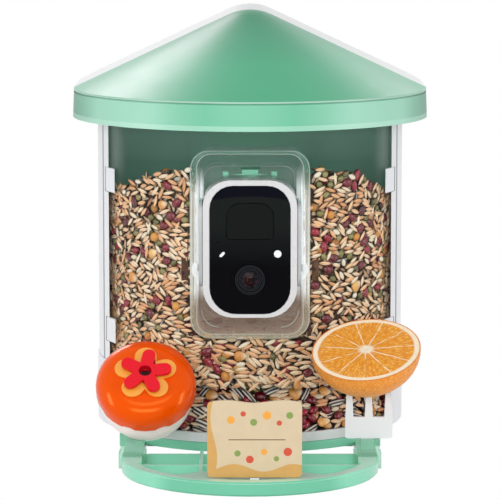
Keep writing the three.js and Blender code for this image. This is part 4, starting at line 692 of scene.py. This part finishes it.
# Nectar dish: a white bowl under a domed lid of deep orange gloss plastic, whose edge runs down over the bowl
# in waves like icing. The port through the lid's middle has a red wall.
DISH_X, DISH_LEAN = -0.0704, 46
PORT_REACH = 5.5 * MM
LID_ORANGE, LID_GLEAM = ink(232, 76, 0), (1, 0.55, 0.12, 1)
bowl_white = plastic("bowl_white", ink(252, 236, 232), 0.25, drift=0.01)
lid_orange = plastic("lid_orange", LID_ORANGE, 0.18, grain=0.0, Specular_IOR_Level=0.5, Specular_Tint=LID_GLEAM)
moulded("nectar_bowl", bowl_white, "pale_plastic")
lid = moulded("nectar_lid", lid_orange, "lid_orange", 0.5, 3)
lid_up = Vector((0, math.sin(math.radians(DISH_LEAN)), math.cos(math.radians(DISH_LEAN))))
reaches = [vert.co @ lid_up for vert in lid.data.vertices]
lid_middle = Vector((DISH_X, (min(reaches) + max(reaches)) / 2))
in_port = [
    float((Vector((vert.co.x, reach)) - lid_middle).length < PORT_REACH)
    for vert, reach in zip(lid.data.vertices, reaches)
]
lid.data.attributes.new("in_port", "FLOAT", "POINT").data.foreach_set("value", in_port)
lid_orange.paint(lid_orange.kept("in_port") > 0.99, ink(214, 12, 50))

# Flowers round the port: a red one on a yellow one, each a soft moulding with a raised edge that shows lighter,
# pressed onto the lid.
RED_GLEAM = (1, 0.6, 0.6, 1)
flower_yellow = plastic("flower_yellow", ink(240, 164, 60), 0.2)
flower_red = plastic("flower_red", ink(226, 14, 36), 0.18, Specular_IOR_Level=0.35, Specular_Tint=RED_GLEAM)
moulded("flower_outer", flower_yellow, "flower_yellow", 0.7, 3)
moulded("flower_inner", flower_red, "flower_red", 0.8, 3)

# Seed mix: dry grain, mung and kidney beans, peas, maize and striped sunflower seed, poured in loose. The seeds
# settle against the window, the slope to the tray and the walls of the camera's pocket, and heap up on top. Each
# kind's three sizes are half its length, width and thickness in mm.
chance = np.random.default_rng(11)
SEED_KINDS = {
    "grain": (4.7, 1.5, 1.2),
    "pale": (3.6, 2.0, 1.3),
    "mung": (2.9, 2.5, 2.2),
    "bean": (4.2, 3.0, 2.4),
    "pea": (3.5, 3.4, 3.0),
    "maize": (4.7, 3.8, 2.0),
    "sunflower": (8.0, 2.6, 1.8),
}
GRAIN_TONES = [(0, (224, 160, 112)), (0.35, (250, 200, 154)), (1, (255, 240, 212))]
SEED_SHADE = ink(30, 16, 12)


def seed_finish(name, colours, roughness, coat=0.0):
    made = Finish("seed_" + name, Coat_Weight=coat, Coat_Roughness=0.15)
    stops = [(place, ink(*colour)) for place, colour in colours]
    colour = made.node("ShaderNodeValToRGB", {"stops": stops}, {0: made.kept("tone")})
    made.feed(
        Base_Color=made.blend(made.noise(900, 3) * 0.22, colour, ink(*[c * 0.7 for c in colours[0][1]])),
        Roughness=roughness,
        Normal=made.bump(made.noise(1500, 3), 0.25, 0.0002),
    )
    return made


def over_seed(finish):
    """Place over a seed, from -1 to 1 along, across and through it, kept in the piece's own attribute."""
    return finish.parts(finish.kept("within", "Vector"))


seed_finishes = {
    "grain": seed_finish("grain", GRAIN_TONES, 0.45),
    "pale": seed_finish("pale", [(0, (226, 204, 172)), (1, (250, 240, 222))], 0.5),
    "mung": seed_finish("mung", [(0, (92, 86, 34)), (0.6, (128, 120, 60)), (1, (156, 144, 90))], 0.35, 0.3),
    "bean": seed_finish("bean", [(0, (88, 0, 20)), (0.6, (136, 2, 34)), (1, (160, 12, 44))], 0.3, 0.2),
    "pea": seed_finish("pea", [(0, (198, 120, 44)), (0.5, (220, 148, 66)), (1, (236, 176, 96))], 0.45),
    "maize": seed_finish("maize", [(0, (208, 132, 52)), (1, (236, 178, 100))], 0.42, 0.15),
    "sunflower": seed_finish("sunflower", [(0, (34, 30, 30)), (1, (62, 56, 54))], 0.5),
}
grain, maize, sunflower = seed_finishes["grain"], seed_finishes["maize"], seed_finishes["sunflower"]
# Painted shade: a darker line along the middle of each grain, for its crease.
_, side, _ = over_seed(grain)
grain.paint((abs(side) < 0.09) * 0.6, ink(176, 118, 78))
along, _, _ = over_seed(maize)
maize.paint((along * 0.8 + 0.1).math("ADD", 0, clamp=True), ink(250, 232, 198))
_, side, _ = over_seed(sunflower)
bands = ((side * 7.0).math("SINE") + sunflower.noise(700, 2) * 0.8).ramp(0.35, 0.9)
sunflower.paint(bands * 0.82, ink(240, 232, 220))
# Painted shade: each seed darker on its back and edges, and more or less by its piece's dim attribute.
for each in seed_finishes.values():
    _, _, rise = over_seed(each)
    hidden = (1 - rise.ramp(0.0, 0.6)) * MOST + each.kept("dim")
    each.paint(hidden.math("MINIMUM", MOST), SEED_SHADE)


def seed_form(kind):
    """One seed, a unit long each way, with its long axis along X."""
    bm = bmesh.new()
    fine = kind in ("pea", "sunflower", "bean", "maize")
    bmesh.ops.create_uvsphere(bm, u_segments=10 if fine else 7, v_segments=8 if fine else 6, radius=1)
    bmesh.ops.rotate(bm, verts=bm.verts, matrix=Matrix.Rotation(math.radians(90), 3, "Y"))
    for vert in bm.verts:
        t = vert.co.x
        if kind in ("grain", "pale"):
            waist = 1 - 0.18 * abs(t)
        elif kind == "sunflower":
            waist = 1.05 - 0.55 * max(t, -0.4)
        elif kind == "maize":
            waist = 1.0 - 0.42 * t
        else:
            waist = 1.0
        vert.co.y *= waist
        vert.co.z *= waist
    corners = np.array([vert.co[:] for vert in bm.verts])
    faces = [[vert.index for vert in face.verts] for face in bm.faces]
    bm.free()
    return corners, faces


seed_forms = {kind: seed_form(kind) for kind in SEED_KINDS}
kind_names = list(SEED_KINDS)
kind_halves = np.array([SEED_KINDS[kind] for kind in kind_names])
NEAR, GIVE, MOST_PUSH, MOST_TWIST, TWIST_ARM = 12, 0.22, 1.2, 0.2, 20
ROUNDS, QUICK_ROUNDS, PAIR_EVERY, MOST_NEIGHBOURS = 30, 4, 4, 260


def close_pairs(spot):
    """Which seeds lie near enough to touch, as pairs of their numbers."""
    order = np.argsort(spot[:, 0])
    pairs = []
    for shift in range(1, MOST_NEIGHBOURS):
        first, second = order[:-shift], order[shift:]
        gap = np.abs(spot[second] - spot[first])
        if not (gap[:, 0] < NEAR).any():
            break
        near = (gap[:, 0] < NEAR) & (gap[:, 1] < NEAR)
        pairs.append(np.stack([first[near], second[near]], 1))
    return np.concatenate(pairs)


def settled(width, height, shares, fill, tilt):
    """Seeds thrown on a flat strip and pushed apart until they hardly overlap: kinds, places and turns."""
    weights = np.array([float(shares[kind]) for kind in kind_names])
    weights /= weights.sum()
    mean_area = (weights * kind_halves[:, 0] * kind_halves[:, 1]).sum() * math.pi
    count = int(width * height * fill / mean_area)
    kinds = chance.choice(len(kind_names), count, p=weights)
    spot = chance.random((count, 2)) * (width, height)
    turn = chance.normal(0, tilt, count)
    wide = kind_halves[kinds, 1]
    reach = kind_halves[kinds, 0] - wide
    for step in range(ROUNDS):
        if step % PAIR_EVERY == 0:
            pairs = close_pairs(spot)
        a, b = pairs[:, 0], pairs[:, 1]
        facing = np.stack([np.cos(turn), np.sin(turn)], 1)
        push = np.zeros_like(spot)
        twist = np.zeros(count)
        for i in (-1, 0, 1):
            for j in (-1, 0, 1):
                arm_a = facing[a] * (reach[a] * i)[:, None]
                arm_b = facing[b] * (reach[b] * j)[:, None]
                gap = spot[b] + arm_b - spot[a] - arm_a
                distance = np.linalg.norm(gap, axis=1) + 1e-6
                over = np.clip(wide[a] + wide[b] - distance, 0, None)
                move = gap / distance[:, None] * (over * GIVE)[:, None]
                np.add.at(push, a, -move)
                np.add.at(push, b, move)
                np.add.at(twist, a, -(arm_a[:, 0] * move[:, 1] - arm_a[:, 1] * move[:, 0]) / TWIST_ARM)
                np.add.at(twist, b, (arm_b[:, 0] * move[:, 1] - arm_b[:, 1] * move[:, 0]) / TWIST_ARM)
        spot = np.clip(spot + np.clip(push, -MOST_PUSH, MOST_PUSH), 0, (width, height))
        turn = turn + np.clip(twist, -MOST_TWIST, MOST_TWIST)
    return kinds, spot, turn


def spots_of(x, y, z):
    """Three rows, of which some may be one number, as places or directions."""
    return np.stack(np.broadcast_arrays(x, y, z), 1).astype(float)


def seed_piece(name, kinds, centre, along, up, dim=0.0):
    """Seeds with their middles at centre, their long sides along `along` and their flats facing `up`, in mm."""
    along = along / np.linalg.norm(along, axis=1)[:, None]
    side = np.cross(up, along)
    side = side / np.linalg.norm(side, axis=1)[:, None]
    face = np.cross(along, side)
    dim = np.broadcast_to(dim, len(kinds))
    verts, loops, starts, slots, tones, dims, within = [], [], [], [], [], [], []
    base = 0
    loop_base = 0
    for number, kind in enumerate(kind_names):
        chosen = np.nonzero(kinds == number)[0]
        if not len(chosen):
            continue
        corners, faces = seed_forms[kind]
        scale = kind_halves[number] * chance.normal(1, 0.07, (len(chosen), 3))
        local = corners[None] * scale[:, None]
        axes = np.stack([along[chosen], side[chosen], face[chosen]], 1)
        placed = np.einsum("nki,nij->nkj", local, axes) + centre[chosen][:, None]
        verts.append(placed.reshape(-1, 3))
        within.append(np.tile(corners, (len(chosen), 1)))
        tones.append(np.repeat(chance.random(len(chosen)), len(corners)))
        dims.append(np.repeat(dim[chosen], len(corners)))
        flat = np.array([corner for each in faces for corner in each])
        begin = np.cumsum([0, *[len(each) for each in faces[:-1]]])
        offsets = base + np.arange(len(chosen)) * len(corners)
        loops.append((flat[None] + offsets[:, None]).ravel())
        starts.append((begin[None] + loop_base + (np.arange(len(chosen)) * len(flat))[:, None]).ravel())
        slots.append(np.full(len(chosen) * len(faces), number))
        base += len(chosen) * len(corners)
        loop_base += len(chosen) * len(flat)
    mesh = bpy.data.meshes.new(name)
    verts, loops, starts = np.concatenate(verts) * MM, np.concatenate(loops), np.concatenate(starts)
    mesh.vertices.add(len(verts))
    mesh.vertices.foreach_set("co", verts.ravel())
    mesh.loops.add(len(loops))
    mesh.loops.foreach_set("vertex_index", loops)
    mesh.polygons.add(len(starts))
    mesh.polygons.foreach_set("loop_start", starts)
    mesh.update(calc_edges=True)
    for attribute, values in (("tone", tones), ("dim", dims)):
        mesh.attributes.new(attribute, "FLOAT", "POINT").data.foreach_set("value", np.concatenate(values))
    mesh.attributes.new("within", "FLOAT_VECTOR", "POINT").data.foreach_set("vector", np.concatenate(within).ravel())
    mesh.shade_smooth()
    object_of(name, mesh, [seed_finishes[kind] for kind in kind_names], "feeder", "seed_mix")
    mesh.polygons.foreach_set("material_index", np.concatenate(slots))


def mixed_by(keep, *arrays):
    return [values[keep] for values in arrays]


# Seed behind the window: two layers, pressed flat against its inside from side to side and up to the top of the heap,
# with room left for the camera's pocket. Shade is painted on the layer behind and on the seeds' hidden edges, and
# eased at the sides, where the seeds are seen edge on, and towards the bottom.
WINDOW_MIX = {"grain": 72, "pale": 4, "mung": 9, "bean": 9, "pea": 2.2, "maize": 1.6, "sunflower": 0.9}
SEED_WALL, WINDOW_ARC = 103.3, 172
WINDOW_FOOT, WINDOW_TALL = 52, 158
POCKET_HALF, POCKET_LOW = 37.2, 86
HEAP_TOP, HEAP_FRONT = 206.4, 103


def heap_height(x, y):
    """Height of the heap in the hopper: banked up against the window and a little lower at the sides."""
    bumps = 1.6 * np.sin(x * 0.11 + 1) * np.sin(y * 0.09) + 1.1 * np.sin(x * 0.31) * np.cos(y * 0.27 + 2)
    hollow = 12 * np.exp(-((x / 42) ** 4)) * np.clip((y + 62) / 10, 0, 1)
    return HEAP_TOP - 0.00057 * x ** 2 - 0.3 * (y + HEAP_FRONT) - hollow + bumps


for layer, (depth, fill, tilt) in enumerate(((1.3, 0.8, 0.5), (3.5, 0.85, 0.8))):
    kinds, spot, turn = settled(SEED_WALL * math.radians(WINDOW_ARC), WINDOW_TALL, WINDOW_MIX, fill, tilt)
    angle = spot[:, 0] / SEED_WALL - math.radians(WINDOW_ARC / 2)
    height = spot[:, 1] + WINDOW_FOOT
    kinds[(height < 128) & (chance.random(len(kinds)) < 0.5)] = kind_names.index("grain")
    half = kind_halves[kinds]
    radius = SEED_WALL - np.maximum(half[:, 2], depth) - chance.random(len(kinds)) * 0.8
    outward = spots_of(np.sin(angle), -np.cos(angle), 0)
    level = spots_of(np.cos(angle), np.sin(angle), 0)
    centre = outward * radius[:, None] + spots_of(0, 0, height)
    lean = chance.normal(0, 0.12 + 0.12 * layer, len(kinds))
    along = level * np.cos(turn)[:, None] + spots_of(0, 0, np.sin(turn)) + outward * lean[:, None]
    clear_of_pocket = (np.abs(centre[:, 0]) > POCKET_HALF + 0.8 * half[:, 0]) | (height < POCKET_LOW - half[:, 1])
    keep = clear_of_pocket & (height < heap_height(centre[:, 0], centre[:, 1]) + 1)
    # Painted shade: more on the layer behind, less at the sides and towards the bottom.
    dim = 0.4 * layer - 0.8 * np.clip((np.abs(angle) - 0.95) / 0.4, 0, 1)
    dim = dim - 0.35 * np.clip((100 - height) / 30, 0, 1)
    seed_piece(f"seed_window_{layer + 1}", *mixed_by(keep, kinds, centre, along, outward, dim))

# Seed on the slope: two layers that have run out under the window, down to the tray's rim, where they level out.
# More of the large kinds lie here than higher up.
SLOPE_MIX = {"grain": 43, "pale": 12, "mung": 10, "bean": 14, "pea": 2, "maize": 10, "sunflower": 13}
SLOPE_MIDDLE, SLOPE_LONG, SLOPE_SCALE = 96, 38, 34
SLOPE_IN, SLOPE_TOP, SLOPE_RUN, SLOPE_DROP = 85, 53.5, 18.5, 28.5
FALL_OUT, FALL_DOWN = 0.512, 0.858
TRAY_INSIDE = 104.6
for layer, (depth, fill) in enumerate(((0.4, 0.85), (2.8, 0.85))):
    kinds, spot, turn = settled(SLOPE_MIDDLE * math.pi, SLOPE_LONG, SLOPE_MIX, fill, 0.3)
    angle = spot[:, 0] / SLOPE_MIDDLE - math.pi / 2
    down = spot[:, 1] / SLOPE_SCALE
    radius = SLOPE_IN + SLOPE_RUN * down - FALL_DOWN * depth - 1.5 * np.clip(down - 0.95, 0, 1)
    height = SLOPE_TOP - SLOPE_DROP * down - FALL_OUT * depth + 3.2 * np.clip(down - 0.8, 0, 1)
    outward = spots_of(np.sin(angle), -np.cos(angle), 0)
    level = spots_of(np.cos(angle), np.sin(angle), 0)
    fall = outward * FALL_OUT + np.array([0, 0, -FALL_DOWN])
    up = outward * FALL_DOWN + np.array([0, 0, FALL_OUT])
    centre = outward * radius[:, None] + spots_of(0, 0, height)
    along = level * np.cos(turn)[:, None] + fall * np.sin(turn)[:, None]
    along = along + up * chance.normal(0, 0.2, len(kinds))[:, None]
    keep = radius < TRAY_INSIDE
    # Painted shade: less on the first layer, while the second keeps it.
    seed_piece(f"seed_slope_{layer + 1}", *mixed_by(keep, kinds, centre, along, up), 0.3 * layer - 0.3)

# Top of the heap: one loose layer, which shows when the roof is open. Sunflower seed and mung beans have worked
# their way up, and the seeds keep clear of the walls and of the pocket's open back.
TOP_MIX = {"grain": 26, "pale": 3, "mung": 20, "bean": 14, "pea": 4, "maize": 3, "sunflower": 30}
TOP_WIDE, TOP_DEEP, TOP_HALF = 206, 176, 103
TOP_REACH, TOP_BACK = 102.5, 72
kinds, spot, turn = settled(TOP_WIDE, TOP_DEEP, TOP_MIX, 1.35, 1.6)
half = kind_halves[kinds]
x, y = spot[:, 0] - TOP_HALF, spot[:, 1] - TOP_HALF
within_walls = (np.hypot(x, np.minimum(y, 0)) < TOP_REACH - half[:, 0]) & (y < TOP_BACK - half[:, 0])
clear_of_pocket = (np.abs(x) > 44) | (y > -44 + half[:, 0])
centre = spots_of(x, y, heap_height(x, y) + chance.normal(0, 0.7, len(kinds)))
along = spots_of(np.cos(turn), np.sin(turn), chance.normal(0, 0.2, len(kinds)) - 0.3 * np.sin(turn))
up = spots_of(0 * x, 0.3, 1)
# Painted shade: a little more on the top layer.
seed_piece("seed_top", *mixed_by(within_walls & clear_of_pocket, kinds, centre, along, up), 0.25)

# Seed round the pocket: what rests against its two sides, its back and its underside, and shows through its
# clear walls. All four faces are one piece.
POCKET_SIDE = 38.4 + 1.2
NICHE_HALF, NICHE_BACK, POCKET_BACK, BACK_TOP = 33.5, -43.2, -53.2, 168
UNDER_FRONT, UNDER_BACK, UNDER_STEP = 85.4, 90.6, -57
faces = []
for side in (-1, 1):
    kinds, spot, turn = settled(35, 112, WINDOW_MIX, 0.95, 0.7)
    y, z = spot[:, 0] - 90, spot[:, 1] + 86
    centre = spots_of(side * POCKET_SIDE, y, z)
    along = spots_of(0, np.cos(turn), np.sin(turn))
    faces.append((kinds, centre, along, spots_of(0 * y - side, 0, 0), z < heap_height(40, y) - 1))
kinds, spot, turn = settled(80, 104, WINDOW_MIX, 0.95, 0.7)
x, z = spot[:, 0] - 40, spot[:, 1] + 88
centre = spots_of(x, np.where(np.abs(x) < NICHE_HALF, NICHE_BACK, POCKET_BACK), z)
along = spots_of(np.cos(turn), 0, np.sin(turn))
faces.append((kinds, centre, along, spots_of(0 * x, -1, 0), z < BACK_TOP))
kinds, spot, turn = settled(80, 56, WINDOW_MIX, 0.95, 0.7)
x, y = spot[:, 0] - 40, spot[:, 1] - 101
centre = spots_of(x, y, np.where(y < UNDER_STEP, UNDER_FRONT, UNDER_BACK))
along = spots_of(np.cos(turn), np.sin(turn), 0)
faces.append((kinds, centre, along, spots_of(0 * x, 0, 1), np.hypot(x, y) < 101))
joined = [np.concatenate([face[part][face[4]] for face in faces]) for part in range(4)]
seed_piece("seed_round_pocket", *joined)

# Behind the seeds that show, the heap is one body a few millimetres in, in darkened colours of the mix: painted shade
# that fills the gaps between the seeds, so no gap looks through to the far wall.
DEPTH_IN, TOP_SINK, TOP_BAND = 6.5, 5, 0.022
CUT_REACH, CUT_STEP = 96, 8
heap_shade = Finish("seed_depth", Roughness=0.9)
cells = heap_shade.node("ShaderNodeTexVoronoi", {}, {"Scale": 210, "Vector": heap_shade.place()}, "Color")
heap_shade.feed(Base_Color=heap_shade.node("ShaderNodeValToRGB", {"stops": [
    (0.0, ink(36, 22, 16)), (0.35, ink(84, 56, 38)), (0.55, ink(52, 18, 22)), (0.7, ink(96, 66, 44)),
    (1.0, ink(50, 46, 28)),
]}, {0: cells}))
for node, body_name in (("hopper_seed", "seed_heap"), ("tray_seed", "seed_slope")):
    bm = whole(node)
    inward = {vert: vert.normal.copy() for vert in bm.verts}
    for vert in bm.verts:
        vert.co -= inward[vert] * DEPTH_IN * MM
    if node == "hopper_seed":
        for normal in ((1, 0, 0), (0, 1, 0)):
            for cut in range(-CUT_REACH, CUT_REACH + 1, CUT_STEP):
                spot = [cut * MM * part for part in normal]
                bmesh.ops.bisect_plane(bm, geom=[*bm.verts, *bm.edges, *bm.faces], plane_co=spot, plane_no=normal)
        for vert in bm.verts:
            top = (heap_height(vert.co.x / MM, vert.co.y / MM) - TOP_SINK) * MM
            if vert.co.z > top - TOP_BAND:
                vert.co.z = top
    object_of(body_name, finished(bm, body_name), [heap_shade], "feeder", "seed_mix", node)
